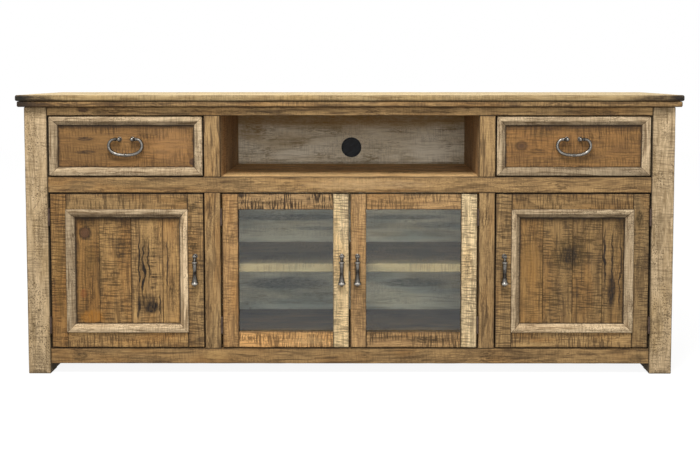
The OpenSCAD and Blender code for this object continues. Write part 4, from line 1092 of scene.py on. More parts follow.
def make_piece(name: str, shells: list[Shell], finish: Finish, body: str, slot: str, *nodes: str) -> None:
    """Joins shells into one piece, dresses it and ties it to its CAD body.

    Args:
        name: Name of the piece.
        shells: The solids that make up the piece.
        finish: Finish of the piece.
        body: CAD body that carries the piece.
        slot: Material slot of the record; not used.
        *nodes: CAD nodes that the piece stands for.
    """
    points = np.concatenate([s.points for s in shells])
    faces: list[tuple[int, ...]] = []
    start = 0
    for shell in shells:
        faces.extend(tuple(i + start for i in face) for face in shell.faces)
        start += len(shell.points)
    mesh = bpy.data.meshes.new(name)
    mesh.from_pydata((points * MM).tolist(), [], faces)
    shape = bmesh.new()
    shape.from_mesh(mesh)
    bmesh.ops.recalc_face_normals(shape, faces=shape.faces)
    shape.to_mesh(mesh)
    shape.free()
    grain = np.concatenate([s.grain for s in shells]) * MM
    look = np.concatenate([s.look for s in shells])
    edge = np.concatenate([s.edge for s in shells])
    for label, values in (("grain", grain), ("look", look)):
        mesh.attributes.new(label, "FLOAT_VECTOR", "POINT").data.foreach_set(
            "vector", values.astype(np.float32).ravel())
    mesh.attributes.new("edge", "FLOAT", "POINT").data.foreach_set("value", edge.astype(np.float32))
    mesh.polygons.foreach_set("use_smooth", [True] * len(mesh.polygons))
    mesh.update()
    mesh.set_sharp_from_angle(angle=math.radians(38))
    piece = bpy.data.objects.new(name, mesh)
    bpy.context.scene.collection.objects.link(piece)
    mesh.materials.append(material_of(finish))
    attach(piece, body)
    if nodes:
        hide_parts(*nodes)
    log.info("piece %s: %d solids, %d points, on %s", name, len(shells), len(points), body)


def boards_piece(name: str, boards: list[Board], finish: Finish, body: str, slot: str, seed: int,
                 *nodes: str) -> None:
    """Builds a piece from boards.

    Args:
        name: Name of the piece.
        boards: The boards.
        finish: Finish of the boards.
        body: CAD body that carries the piece.
        slot: Material slot of the record.
        seed: Number that picks the boards' grain and dents.
        *nodes: CAD nodes that the piece stands for.
    """
    shells = [board.shell(seed * 100 + i) for i, board in enumerate(boards)]
    make_piece(name, shells, finish, body, slot, *nodes)


def ring_shell(rings: list[np.ndarray], closed: bool, tone: float = 1.0) -> Shell:
    """Skins a row of rings of points that have the same count.

    Args:
        rings: Rings of points in mm, each running round the solid.
        closed: Whether the last ring joins the first; otherwise both ends are capped.
        tone: Depth of the solid's colour.

    Returns:
        The skinned solid, with its grain along the rings' middles.
    """
    count, size = len(rings), len(rings[0])
    points = np.concatenate(rings)
    faces: list[tuple[int, ...]] = []
    for i in range(count if closed else count - 1):
        a, b = i * size, (i + 1) % count * size
        faces.extend((a + j, a + (j + 1) % size, b + (j + 1) % size, b + j) for j in range(size))
    if not closed:
        faces.append(tuple(range(size - 1, -1, -1)))
        faces.append(tuple((count - 1) * size + j for j in range(size)))
    return Shell(points, faces, points.copy(), np.tile((tone, 0.0, 1.0), (len(points), 1)),
                 np.zeros(len(points)))


@dataclass
class Top:
    """The two-layer top: wide planks over a board that lies a little further in."""

    half_w: float = 965.0
    front: float = -254.0
    back: float = 254.0
    low: float = 785.0
    sub_t: float = 17.0
    plank_t: float = 18.0
    inset: float = 4.0
    seam: float = 0.4
    plank_tones: tuple[float, ...] = (1.04, 1.12, 1.06, 1.1)

    def build(self) -> None:
        """Builds the planks and the board under them."""
        split = self.low + self.sub_t
        pitch = (self.back - self.front) / len(self.plank_tones)
        # Only the first plank's edge is seen from the front. It is rounder and darker.
        planks = [
            Board((-self.half_w, self.front + pitch * i + (self.seam if i else 0), split),
                  (self.half_w, self.front + pitch * (i + 1), split + self.plank_t), Run.X,
                  round_mm=2.0 if i else 5.5, tone=tone, wobble_mm=0.6, dent_mm=1.4, step_mm=14, wear_mm=4.0,
                  end_tone=0.3, front_tone=1.0 if i else 0.54)
            for i, tone in enumerate(self.plank_tones)
        ]
        boards_piece("top_plank_boards", planks, TOP_PINE, "cabinet", "aged_tan_pine", 1, "top_planks")
        sub = Board((-self.half_w + self.inset, self.front + self.inset, self.low),
                    (self.half_w - self.inset, self.back, split), Run.X, round_mm=4.5, tone=0.88, warmth=0.1,
                    end_tone=0.4, wobble_mm=0.5, dent_mm=1.0, step_mm=18, wear_mm=3.0)
        boards_piece("top_lower_board", [sub], RAIL_PINE, "cabinet", "aged_tan_pine", 2, "sub_top")


@dataclass
class Posts:
    """Four square posts, down to the floor."""

    inner: float = 879.0
    outer: float = 945.0
    front: float = -234.0
    front_back: float = -168.0
    rear: float = 188.0
    rear_back: float = 254.0
    high: float = 785.0

    def build(self) -> None:
        """Builds the front and the rear posts."""
        for label, y0, y1, seed in (("front", self.front, self.front_back, 3),
                                    ("rear", self.rear, self.rear_back, 4)):
            # Their faces towards the middle of the stand are darkened, as painted shade.
            posts = [Board((self.inner, y0, 0.0), (self.outer, y1, self.high), Run.Z, round_mm=3.0,
                           wobble_mm=0.5, dent_mm=1.0, inner_tone=0.25).mirrored(side) for side in Side]
            boards_piece(f"{label}_post_timbers", posts, POST_PINE, "cabinet", "grey_post_pine", seed,
                         f"{label}_posts")


@dataclass
class FaceFrame:
    """Bottom, middle and top rails with the stiles beside the middle bay."""

    half_w: float = 879.0
    front: float = -232.0
    back: float = -210.0
    levels: tuple[tuple[float, float], ...] = ((30.0, 75.0), (535.0, 581.0), (760.0, 785.0))
    rail_looks: tuple[tuple[float, float], ...] = ((0.88, 0.1), (0.98, 0.1), (1.22, 0.0))
    stile: tuple[float, float] = (377.0, 424.0)

    def build(self) -> None:
        """Builds the rails and the stiles."""
        rails = [Board((-self.half_w, self.front, low), (self.half_w, self.back, high), Run.X, tone=tone,
                       warmth=warmth, marks=0.6, wobble_mm=0.6, dent_mm=1.0, rim_tone=0.7)
                 for (low, high), (tone, warmth) in zip(self.levels, self.rail_looks)]
        boards_piece("front_rail_boards", rails, RAIL_PINE, "cabinet", "honey_pine", 5, "front_rails")
        stiles = [Board((self.stile[0], self.front, below[1]), (self.stile[1], self.back, above[0]), Run.Z,
                        marks=0.35, wobble_mm=0.5, rim_tone=0.5).mirrored(side)
                  for side in Side for below, above in zip(self.levels, self.levels[1:])]
        boards_piece("front_stile_boards", stiles, RAIL_PINE, "cabinet", "honey_pine", 6, "front_stiles")


@dataclass
class Flanks:
    """Side planks between the posts, with the rail over them and the sill under them."""

    plank_in: float = 916.0
    plank_out: float = 934.0
    front: float = -168.0
    back: float = 188.0
    low: float = 71.0
    high: float = 725.0
    rail_in: float = 911.0
    rail_out: float = 941.0
    body_z: float = 785.0
    sill_in: float = 879.0
    sill_low: float = 3.0
    seam: float = 0.4
    plank_tones: tuple[float, ...] = (0.8, 0.88, 0.78, 0.84)

    def build(self) -> None:
        """Builds the planks, rails and sills of both sides."""
        pitch = (self.back - self.front) / len(self.plank_tones)
        planks = [Board((self.plank_in, self.front + pitch * i + (self.seam if i else 0), self.low),
                        (self.plank_out, self.front + pitch * (i + 1), self.high), Run.Z, tone=tone,
                        warmth=0.15, wobble_mm=0.6, dent_mm=0.8).mirrored(side)
                  for side in Side for i, tone in enumerate(self.plank_tones)]
        boards_piece("side_plank_boards", planks, POST_PINE, "cabinet", "aged_tan_pine", 7, "side_panels")
        rails = []
        for side in Side:
            rails.append(Board((self.rail_in, self.front, self.high), (self.rail_out, self.back, self.body_z),
                               Run.Y, tone=0.92).mirrored(side))
            # The sill is darker than the rail above, and its face towards the middle is darker still, as
            # painted shade.
            rails.append(Board((self.sill_in, self.front, self.sill_low),
                               (self.rail_out, self.back, self.low), Run.Y, tone=0.6,
                               inner_tone=0.22).mirrored(side))
        boards_piece("side_rail_boards", rails, RAIL_PINE, "cabinet", "honey_pine", 8, "side_rails")


@dataclass
class Carcass:
    """Decks, partitions, shelves, back sheets and what is fixed to them."""

    bay_x: float = 377.0
    partition_x: float = 397.0
    partition_mid: float = 387.0
    post_x: float = 879.0
    plank_x: float = 916.0
    inner_y: float = -210.0
    post_back: float = -168.0
    rear_post: float = 188.0
    sheet_y: float = 236.0
    mid_low: float = 563.0
    mid_high: float = 581.0
    rail_low: float = 30.0
    rail_high: float = 71.0
    rail_y: float = 214.0
    shelf_low: float = 293.0
    shelf_high: float = 318.0
    shelf_gap: float = 1.0
    shelf_front: float = -180.0
    stave_tones: tuple[float, ...] = (0.34, 0.42, 0.56, 0.46)

    def build(self) -> None:
        """Builds the decks and shelves, and dresses the nodes that keep their shape."""
        # The board under the niche is 2.1 times lighter than the finish, as painted light in the shaded
        # niche.
        decks = [Board((-self.partition_mid, self.inner_y, self.mid_low),
                       (self.partition_mid, self.sheet_y, self.mid_high), Run.X, tone=2.1,
                       warmth=-0.15, marks=0.4)]
        for side in Side:
            decks.append(Board((self.partition_x, self.inner_y, self.mid_low),
                               (self.post_x, self.sheet_y, self.mid_high), Run.X, marks=0.4).mirrored(side))
            decks.append(Board((self.post_x, self.post_back, self.mid_low),
                               (self.plank_x, self.rear_post, self.mid_high), Run.Y,
                               marks=0.4).mirrored(side))
        boards_piece("mid_deck_boards", decks, RAIL_PINE, "cabinet", "brown_pine", 9, "mid_deck")
        rail = Board((-self.post_x, self.rail_y, self.rail_low), (self.post_x, self.sheet_y, self.rail_high),
                     Run.X)
        boards_piece("rear_rail_board", [rail], BROWN_PINE, "cabinet", "brown_pine", 10, "rear_rail")
        # The middle shelf is glued up from staves, which differ in colour. The first stave's front edge is
        # made pale, as a painted highlight.
        gap = self.shelf_gap
        stave = (self.sheet_y - gap - self.shelf_front) / len(self.stave_tones)
        shelves = [Board((-self.bay_x + gap, self.shelf_front + stave * i, self.shelf_low),
                         (self.bay_x - gap, self.shelf_front + stave * (i + 1), self.shelf_high), Run.X,
                         round_mm=0.8, tone=tone, warmth=0.4, marks=2.5, front_tone=1.0 if i else 1.8)
                   for i, tone in enumerate(self.stave_tones)]
        shelves += [Board((self.partition_x + gap, self.post_back + gap, self.shelf_low),
                          (self.plank_x - gap, self.rear_post - gap, self.shelf_high), Run.X,
                          tone=0.9).mirrored(side) for side in Side]
        boards_piece("shelf_boards", shelves, INNER_PINE, "cabinet", "plain_inner_pine", 11, "shelves")
        dress_nodes(DECK_PINE, "bottom_deck")
        dress_nodes(PARTITION_PINE, "partitions")
        dress_nodes(WASHED_PLY, "back_panels")
        dress_nodes(PLAIN_RUNNER, "drawer_runners", "catch_blocks")
        dress_nodes(ZINC_STEEL, "back_panel_screws", "shelf_pins", "slide_channels", "magnet_catches")
        dress_nodes(HINGE_IRON, "hinge_frame_leaves")


@dataclass
class Moulding:
    """Four mitred sides round a rectangle, standing out of a face to the front, for the right-hand half.

    Attributes:
        crest: How far the flat band stands out of the face.
        seat: Width of the part that lies on the face, where the rest reaches behind it.
        drop: How far the inner part reaches behind the face.
        lip: How far the inner edge stands out of the panel.
        nose: Radius of the outer arris.
        tones, waxed: Colour of the bottom, outer, top and inner side, partly painted light and shade, and how
            dark their coves are, from wax and painted shade.
    """

    x: float
    z: float
    wide: float
    high: float
    face: float
    crest: float
    seat: float = 0.0
    drop: float = 0.0
    width: float = 25.0
    band: float = 14.0
    lip: float = 3.0
    nose: float = 3.0
    tones: tuple[float, ...] = (1.0, 1.0, 1.0, 1.0)
    waxed: tuple[float, ...] = (0.3, 0.7, 0.85, 0.8)

    def _section(self) -> np.ndarray:
        """Draws the outline of the moulding.

        Returns:
            Rows of distance inwards and height out of the face, in mm.
        """
        # Just under half of the crest, so that the arc never meets the face.
        nose = min(self.nose, self.crest / 2) * 0.98
        angles = [math.radians(a) for a in range(180, 89, -15)]
        outer = [(nose + nose * math.cos(a), self.crest - nose + nose * math.sin(a)) for a in angles]
        # The flat band ends in a rubbed arris, and a shallow cove falls from it to the lip.
        band = [(self.band * 0.5, self.crest), (self.band - 1.6, self.crest),
                (self.band - 0.5, self.crest - 0.35)]
        low = self.lip - self.drop
        top = self.crest - 1.1
        slope = [(self.band + (self.width - self.band) * t, low + (top - low) * (1 - t) ** 1.12)
                 for t in (0.0, 0.2, 0.4, 0.6, 0.8, 0.94, 1.0)]
        back = [(self.width, 0.0)]
        if self.drop:
            back = [(self.width, -self.drop), (self.seat, -self.drop), (self.seat, 0.0)]
        return np.array([(0.0, 0.0), *outer, *band, *slope, *back])

    def _side(self, span: float, place: np.ndarray, tone: float, waxed: float, seed: int) -> Shell:
        """One mitred side.

        Args:
            span: Outer length of the side.
            place: Its first corner and its directions along and inwards, each as X and Z.
            tone: Depth of the side's colour, partly painted light and shade.
            waxed: How dark its cove is, from wax and painted shade.
            seed: Number that picks the side's wobble and grain.

        Returns:
            The side as a solid.
        """
        section = self._section()
        inwards, out = section.T
        # A ring every 16 mm, and one 2.2 mm from each mitre.
        count = max(6, round(span / 16))
        thin = 2.2 / span
        shares = sorted({0.0, thin, 1 - thin, 1.0} | {i / count for i in range(1, count)})
        straight = np.concatenate([np.stack([inwards + (span - 2 * inwards) * share, inwards, out], axis=1)
                                   for share in shares])
        worn = straight.copy()
        shake = cloud(worn, 40, seed) * 0.3 + np.clip(cloud(worn, 14, seed + 1) - 0.55, 0, 1)
        worn[:, 2] -= np.where(worn[:, 2] > 0.2, np.minimum(shake, worn[:, 2] * 0.5), 0.0)
        size = len(section)
        flat = place[0] + worn[:, :1] * place[1] + worn[:, 1:2] * place[2]
        points = np.stack([flat[:, 0], self.face - worn[:, 2], flat[:, 1]], axis=1)
        shell = ring_shell(np.split(points, len(shares)), closed=False, tone=tone)
        chance = random.Random(seed)
        offset = np.array([chance.uniform(2000, 9000), chance.uniform(-20, 20), chance.uniform(20, 60)])
        shell.grain = straight + offset
        # Dark lies on the outer arris, in the cove and most of all at the lip, where the moulding meets the
        # frame and the panel: partly wax and partly painted shade.
        band, width = self.band, self.width
        shell.edge = np.interp(worn[:, 1], (0.0, 1.0, 4.0, band - 1, band + 1, width - 3, width),
                               (1.0, 0.75, 0.0, 0.0, waxed, waxed, 0.95))
        # The mitres at both ends are dark lines.
        shell.edge[:size] = shell.edge[-size:] = 1.0
        return shell

    def shells(self, side: Side, seed: int) -> list[Shell]:
        """Builds the bottom, the outer, the top and the inner side.

        Args:
            side: The half of the stand; the left one is mirrored.
            seed: Number that picks the wobble and grain.

        Returns:
            Four mitred sides.
        """
        x0, x1, z0, z1 = self.x, self.x + self.wide, self.z, self.z + self.high
        # Each side's length, its first corner, and its directions along and inwards.
        places = ((self.wide, (x0, z0), (1, 0), (0, 1)), (self.high, (x1, z0), (0, 1), (-1, 0)),
                  (self.wide, (x1, z1), (-1, 0), (0, -1)), (self.high, (x0, z1), (0, -1), (1, 0)))
        found = []
        for i, (span, *place) in enumerate(places):
            shell = self._side(span, np.array(place), self.tones[i], self.waxed[i], seed * 10 + i)
            if side is Side.LEFT:
                shell.points[:, 0] *= -1
                shell.faces = [face[::-1] for face in shell.faces]
            found.append(shell)
        return found


def turned(profile: list[tuple[float, float]], base: Point, axis: Run, sign: float = 1.0,
           rubbed: float = 1.0, segments: int = 28) -> Shell:
    """Turns a profile round an axis, as on a lathe, marks its bulges as rubbed and paints a highlight on its
    front.

    Args:
        profile: Rows of distance along the axis and radius, in mm.
        base: Point where the distance is zero.
        axis: Direction of the axis.
        sign: 1 along the axis, or -1 against it.
        rubbed: How bright its rubbed bulges and the painted highlight on its front are.
        segments: Points round each ring.

    Returns:
        The turned solid.
    """
    u, v = (a for a in range(3) if a != axis.value)
    radii = np.array([radius for _, radius in profile])
    angles = np.arange(segments) * 2 * math.pi / segments
    rings = []
    for distance, radius in profile:
        ring = np.tile(np.array(base, float), (segments, 1))
        ring[:, axis.value] += sign * distance
        ring[:, u] += radius * np.cos(angles)
        ring[:, v] += radius * np.sin(angles)
        rings.append(ring)
    shell = ring_shell(rings, closed=False)
    # A bulge stands out from the mean of five radii and is rubbed bright, and the side that looks to the
    # front gets a painted highlight.
    around = np.convolve(np.pad(radii, 2, mode="edge"), np.ones(5) / 5, mode="valid")
    bulge = np.clip(0.3 + (radii - around) * 1.6, 0, 1)
    towards = {Run.X: -np.cos(angles), Run.Y: np.full(segments, 0.7), Run.Z: -np.sin(angles)}[axis]
    reached = np.clip(towards * 1.5 - 0.15, 0, 1) ** 1.2
    shell.edge = rubbed * np.outer(bulge, reached).ravel()
    return shell


def drawn(path: np.ndarray, radii: np.ndarray, rubbed: float = 0.48, segments: int = 16) -> Shell:
    """Draws a round bar of changing thickness along a path in an upright plane.

    Args:
        path: Points of the bar's middle, in mm.
        radii: Radius at each point.
        rubbed: How bright the painted highlight on its front is.
        segments: Points round the bar.

    Returns:
        The bar, with a painted highlight on its front.
    """
    tangent = np.gradient(path, axis=0)
    tangent /= np.linalg.norm(tangent, axis=1, keepdims=True)
    back = np.array((0.0, 1.0, 0.0))
    across = np.cross(tangent, back)
    angles = np.arange(segments) * 2 * math.pi / segments
    rings = [p + r * (np.cos(angles)[:, None] * back + np.sin(angles)[:, None] * a)
             for p, r, a in zip(path, radii, across)]
    shell = ring_shell(rings, closed=False)
    # A painted highlight down the front of the bar, strongest where the bar is thickest.
    front = np.clip(-np.cos(angles) * 1.9 - 0.8, 0, 1)
    shell.edge = rubbed * np.outer(radii / radii.max(), front).ravel()
    return shell


@dataclass
class CableOutlet:
    """The round outlet in the niche's back: a rounded ring, and a cap that pulls out."""

    z: float = 636.0
    sheet_y: float = 236.0
    back_t: float = 10.0
    flange_r: float = 33.3
    flange_t: float = 2.5
    recess_r: float = 27.5
    recess: float = 1.2
    bore_r: float = 25.5
    sleeve_r: float = 28.3
    segments: int = 72

    def build(self) -> None:
        """Builds the ring and dresses the cap."""
        t, floor = self.flange_t, self.flange_t - self.recess
        section = [(self.bore_r, -self.back_t), (self.bore_r, floor), (self.recess_r, floor),
                   (self.recess_r, t - 0.4), (self.recess_r + 0.4, t), (self.flange_r - 1.8, t),
                   (self.flange_r - 0.7, t - 0.4), (self.flange_r - 0.1, t - 1.1), (self.flange_r, 0.6),
                   (self.flange_r, 0.0), (self.sleeve_r, 0.0), (self.sleeve_r, -self.back_t)]
        turns = (2 * math.pi * i / self.segments for i in range(self.segments))
        rings = [np.array([(r * math.cos(a), self.sheet_y - out, self.z + r * math.sin(a))
                           for r, out in section]) for a in turns]
        make_piece("cable_outlet_ring", [ring_shell(rings, closed=True)], BLACK_PLASTIC, "cabinet",
                   "black_plastic", "grommet_ring")
        dress_nodes(BLACK_PLASTIC, "grommet_cap")


@dataclass
class DropPull:
    """A cast pendant that swings on a pin between two round ears on a rosette."""

    door: str
    x: float
    y: float = -243.0
    z: float = 348.5
    face: float = -232.0
    ear_r: float = 5.5
    ear_t: float = 3.6
    arm_t: float = 3.2
    arm_h: float = 6.8
    pin_r: float = 1.5
    tongue_t: float = 3.6
    tongue_w: float = 5.2
    tongue_l: float = 8.0
    gap: float = 0.2
    rosette_r: float = 7.5
    rosette_t: float = 2.5

    def _mount(self) -> list[Shell]:
        """Builds the rosette, its neck, the two ears and the pin.

        Returns:
            The solids of the mount.
        """
        x, r, t = self.x, self.rosette_r, self.rosette_t
        shells = [turned([(0.0, r - 0.3), (0.5, r), (1.1, r), (1.5, r - 0.9), (1.8, r - 1.3), (2.1, r - 1.5),
                          (t, r - 3.2), (t + 0.3, 2.4)], (x, self.face, self.z), Run.Y, -1.0, 0.35)]
        r, t = self.ear_r, self.ear_t
        near = self.tongue_t / 2 + self.gap
        for sign in (-1.0, 1.0):
            inner, outer = x + sign * near, x + sign * (near + self.arm_t)
            shells.append(turned([(0.0, r - 0.8), (0.5, r - 0.1), (1.2, r), (2.2, r), (2.9, r - 0.5),
                                  (3.3, r - 1.6), (t, 2.4), (t + 0.1, 1.2)], (inner, self.y, self.z), Run.X,
                                 sign, 0.4))
            # The arm ends inside the rosette.
            arm = Board((min(inner, outer), self.y, self.z - self.arm_h / 2),
                        (max(inner, outer), self.face - self.rosette_t * 0.6, self.z + self.arm_h / 2), Run.Y,
                        round_mm=1.0, wobble_mm=0.0, dent_mm=0.0)
            shells.append(arm.shell(7))
        shells.append(turned([(0.0, self.pin_r), (2 * near, self.pin_r)], (x - near, self.y, self.z), Run.X))
        return shells

    def _pendant(self) -> list[Shell]:
        """Builds the collar, the shaft and the foot, and the tongue with its eye.

        Returns:
            The solids of the pendant.
        """
        cone = [(5.7, 2.6), (5.8, 3.2), (6.8, 3.5), (8.0, 3.8), (9.5, 4.1), (11.0, 4.5), (12.5, 5.1),
                (13.8, 5.7)]
        collar = [(14.6, 7.4), (15.2, 8.5), (17.4, 8.6), (18.2, 8.0), (18.6, 6.8), (19.2, 6.3)]
        shaft = [(20.5, 6.2), (24.0, 6.1), (30.0, 5.9), (38.0, 5.7), (46.0, 5.6), (54.0, 5.8), (60.0, 6.3),
                 (65.0, 7.0), (69.0, 7.7), (72.5, 8.4)]
        foot = [(74.5, 9.1), (75.3, 10.2), (76.3, 10.7), (80.3, 10.7), (81.4, 10.2), (82.2, 8.6), (82.8, 6.8),
                (83.8, 5.4), (84.8, 4.6), (85.8, 3.9), (86.8, 3.2), (87.5, 2.4), (87.9, 1.2)]
        x, r, t = self.x, self.ear_r, self.tongue_t
        pendant = turned([*cone, *collar, *shaft, *foot], (x, self.y, self.z), Run.Z, -1.0)
        eye = turned([(0.0, r - 1.2), (0.5, r - 0.4), (1.8, r - 0.2), (t - 0.5, r - 0.4), (t, r - 1.2)],
                     (x - t / 2, self.y, self.z), Run.X, 1.0, 0.4)
        neck = Board((x - t / 2, self.y - self.tongue_w / 2, self.z - self.tongue_l),
                     (x + t / 2, self.y + self.tongue_w / 2, self.z), Run.Z, round_mm=0.9, wobble_mm=0.0,
                     dent_mm=0.0)
        return [pendant, eye, neck.shell(8)]

    def build(self) -> None:
        """Builds the mount on the door and the pendant on its own body."""
        make_piece(f"{self.door}_pull_rosette_and_ears", self._mount(), PEWTER, self.door, "pewter",
                   f"{self.door}_pull_mount")
        make_piece(f"{self.door}_pendant", self._pendant(), PEWTER, f"{self.door}_pull", "pewter",
                   f"{self.door}_pull")


@dataclass
class BailPull:
    """A loose bail that hangs from the balls of two posts."""

    drawer: str
    x: float
    y: float = -233.0
    z: float = 691.0
    face: float = -222.0
    post_x: float = 19.0
    ball_r: float = 5.9
    half_w: float = 48.5
    depth: float = 46.0
    gap: float = 0.25

    def _posts(self) -> list[Shell]:
        """Builds two rosettes with their stems and balls.

        Returns:
            The solids of the posts.
        """
        stem_end = self.face - self.y - 4.0
        rosette = [(0.0, 6.8), (0.5, 7.0), (1.0, 6.9), (1.3, 6.1), (1.7, 5.7), (2.1, 4.6), (2.6, 3.4),
                   (3.4, 3.2), (stem_end, 3.2)]
        angles = [math.pi * i / 14 for i in range(15)]
        ball = [(self.ball_r * math.cos(a), self.ball_r * math.sin(a) + 0.02) for a in angles]
        shells = []
        for sign in (-1.0, 1.0):
            post_x = self.x + sign * self.post_x
            shells.append(turned(rosette, (post_x, self.face, self.z), Run.Y, -1.0, 0.3))
            shells.append(turned(ball, (post_x, self.y, self.z), Run.Z, 1.0, 0.6))
        return shells

    def _curve(self, start: float) -> np.ndarray:
        """Draws the middle line of the right-hand half of the bar.

        Args:
            start: Where the ferrule begins, from the bail's middle, in mm.

        Returns:
            Rows of distance across and height, from the ferrule to the lowest point.
        """
        w, d = self.half_w, self.depth
        knots = np.array([(start + 4.6, 0.1), (w - 15.5, 0.2), (w - 8.0, -2.4), (w - 2.6, -8.2), (w, -17.0),
                          (w - 1.2, -25.5), (w - 6.0, -33.4), (w - 14.0, -39.6), (w - 25.0, -43.8),
                          (w - 37.0, -d + 0.4), (0.0, -d)])
        # A curve through all its knots needs one more at each end: the first again, and one past the middle.
        knots = np.concatenate([knots[:1], knots, knots[-2:-1] * (-1, 1)])
        curve = [knots[0]]
        for before, a, b, after in zip(knots, knots[1:], knots[2:], knots[3:]):
            for t in (0.25, 0.5, 0.75, 1.0):
                curve.append(0.5 * (2 * a + (b - before) * t + (2 * before - 5 * a + 4 * b - after) * t * t
                                    + (3 * a - before - 3 * b + after) * t ** 3))
        return np.array(curve)

    def _bail(self) -> list[Shell]:
        """Builds the bar with its knurled ferrules and the ring at its middle.

        Returns:
            The solids of the bail.
        """
        x, start = self.x, self.post_x + self.ball_r + self.gap
        right = self._curve(start)
        flat = np.concatenate([right * (-1, 1), right[-2::-1]])
        path = np.stack([x + flat[:, 0], np.full(len(flat), self.y), self.z + flat[:, 1]], axis=1)
        steps = np.abs(np.linspace(-1, 1, len(path)))
        shells = [drawn(path, np.interp(steps, (0.0, 0.25, 0.6, 1.0), (4.6, 4.7, 4.4, 3.9)))]
        ferrule = [(0.0, 4.0), (0.4, 5.2), (1.2, 5.8), (1.8, 4.9), (2.5, 5.8), (3.2, 4.9), (3.9, 5.8),
                   (4.6, 4.9), (5.4, 5.6), (6.6, 5.2), (7.6, 4.6), (8.6, 4.1)]
        for sign in (-1.0, 1.0):
            shells.append(turned(ferrule, (x + sign * start, self.y, self.z), Run.X, sign, 0.7))
        ring = [(-3.2, 4.5), (-2.7, 5.2), (-2.1, 5.4), (-1.5, 4.7), (-0.9, 5.5), (0.0, 5.7), (0.9, 5.5),
                (1.5, 4.7), (2.1, 5.4), (2.7, 5.2), (3.2, 4.5)]
        shells.append(turned(ring, (x, self.y, self.z - self.depth), Run.X, 1.0, 0.5))
        return shells

    def build(self) -> None:
        """Builds the posts on the drawer and the bail on its own body."""
        make_piece(f"{self.drawer}_bail_rosettes_and_balls", self._posts(), PEWTER, self.drawer, "pewter",
                   f"{self.drawer}_bail_posts")
        make_piece(f"{self.drawer}_bail_bar", self._bail(), PEWTER, f"{self.drawer}_bail", "pewter",
                   f"{self.drawer}_bail")


@dataclass
class Front:
    """What doors and drawers share: a half of the stand, a body of their own and a seed for their wood."""

    side: Side
    seed: int
    kind: ClassVar[str] = "front"

    @property
    def body(self) -> str:
        """Name of the CAD body."""
        return f"{self.side.word}_{self.kind}"

    def _boards(self, label: str, boards: list[Board], finish: Finish, slot: str, step: int,
                node: str) -> None:
        """Builds a piece from boards that are written for the right-hand half.

        Args:
            label: Name of the piece after that of the body.
            boards: The boards.
            finish: Their finish.
            slot: Material slot of the record.
            step: Number of the piece, which picks its grain and dents.
            node: Name of the CAD node after that of the body.
        """
        boards = [board.mirrored(self.side) for board in boards]
        boards_piece(f"{self.body}_{label}", boards, finish, self.body, slot, self.seed + step,
                     f"{self.body}_{node}")

    def _moulding(self, label: str, moulding: Moulding, step: int) -> None:
        """Builds the moulding.

        Args:
            label: Name of the piece after that of the body.
            moulding: The moulding, written for the right-hand half.
            step: Number of the piece, which picks its grain and dents.
        """
        make_piece(f"{self.body}_{label}", moulding.shells(self.side, self.seed + step), MOULDING_PINE,
                   self.body, "dry_brushed_moulding", f"{self.body}_moulding")


@dataclass
class PanelDoor(Front):
    """A panelled door: frame, upright planks, raised moulding, hinge leaves and a drop pull."""

    kind: ClassVar[str] = "panel_door"
    x: float = 427.0
    far_x: float = 874.0
    z: float = 78.0
    far_z: float = 532.0
    face: float = -232.0
    back: float = -210.5
    member: float = 55.0
    visible: float = 46.5
    tongue: float = 8.0
    setback: float = 9.0
    plank_t: float = 9.0
    plank_w: float = 93.0
    lap: float = 10.0
    proud: float = 7.0
    seam: float = 0.4
    pull_x: float = 452.0
    frame_looks: tuple[tuple[float, float], ...] = ((1.0, 0.0),) * 4
    plank_looks: tuple[tuple[float, float, float], ...] = ((1.0, 0.0, 1.0),) * 4
    # Each side's moulding tone holds painted light and shade, and its cove darkness is partly painted shade.
    moulding_tones: tuple[float, ...] = (1.0, 1.0, 1.0, 1.0)
    moulding_wax: tuple[float, ...] = (0.35, 0.55, 0.8, 0.65)

    def _frame(self) -> None:
        """Builds the frame, whose looks are tone and warmth of the latch, hinge, top and bottom member."""
        x0, x1, z0, z1, m = self.x, self.far_x, self.z, self.far_z, self.member
        # The stiles show 46.5 mm of their width, and the strip beside it lies under the moulding's lap.
        boards = four_boards((x0, x1), (self.face, self.back), (z0, z1), self.visible, m)
        for low, high in ((x0 + self.visible, x0 + m), (x1 - m, x1 - self.visible)):
            boards.append(Board((low, self.face, z0 + m), (high, self.back, z1 - m), Run.Z))
        looks = (*self.frame_looks, *self.frame_looks[:2])
        members = [replace(board, tone=tone, warmth=warmth, rim_tone=0.3)
                   for board, (tone, warmth) in zip(boards, looks)]
        self._boards("members", members, BROWN_PINE, "brown_pine", 0, "frame")

    def _panel(self) -> None:
        """Builds the planks, whose looks are tone, warmth and saw marks, from the hinge to the latch."""
        reach = self.member - self.tongue
        low, high = self.x + reach, self.far_x - reach
        front = self.face + self.setback
        planks = []
        for i, (tone, warmth, marks) in enumerate(self.plank_looks):
            last = i == len(self.plank_looks) - 1
            far = low if last else high - self.plank_w * (i + 1) + self.seam
            planks.append(Board((far, front, self.z + reach),
                                (high - self.plank_w * i, front + self.plank_t, self.far_z - reach), Run.Z,
                                round_mm=1.0, tone=tone, warmth=warmth, marks=marks, wear_mm=2.5,
                                wobble_mm=0.3))
        self._boards("panel", planks, PLANK_PINE, "honey_pine", 1, "planks")

    def build(self) -> None:
        """Builds the wooden pieces and dresses the metal ones."""
        self._frame()
        self._panel()
        edge = self.member - self.lap
        moulding = Moulding(self.x + edge, self.z + edge, self.far_x - self.x - 2 * edge,
                            self.far_z - self.z - 2 * edge, self.face, self.proud, self.lap, self.setback,
                            tones=self.moulding_tones, waxed=self.moulding_wax)
        self._moulding("raised_moulding", moulding, 2)
        dress_nodes(HINGE_IRON, f"{self.body}_hinge_leaves")
        DropPull(self.body, self.side.value * self.pull_x).build()


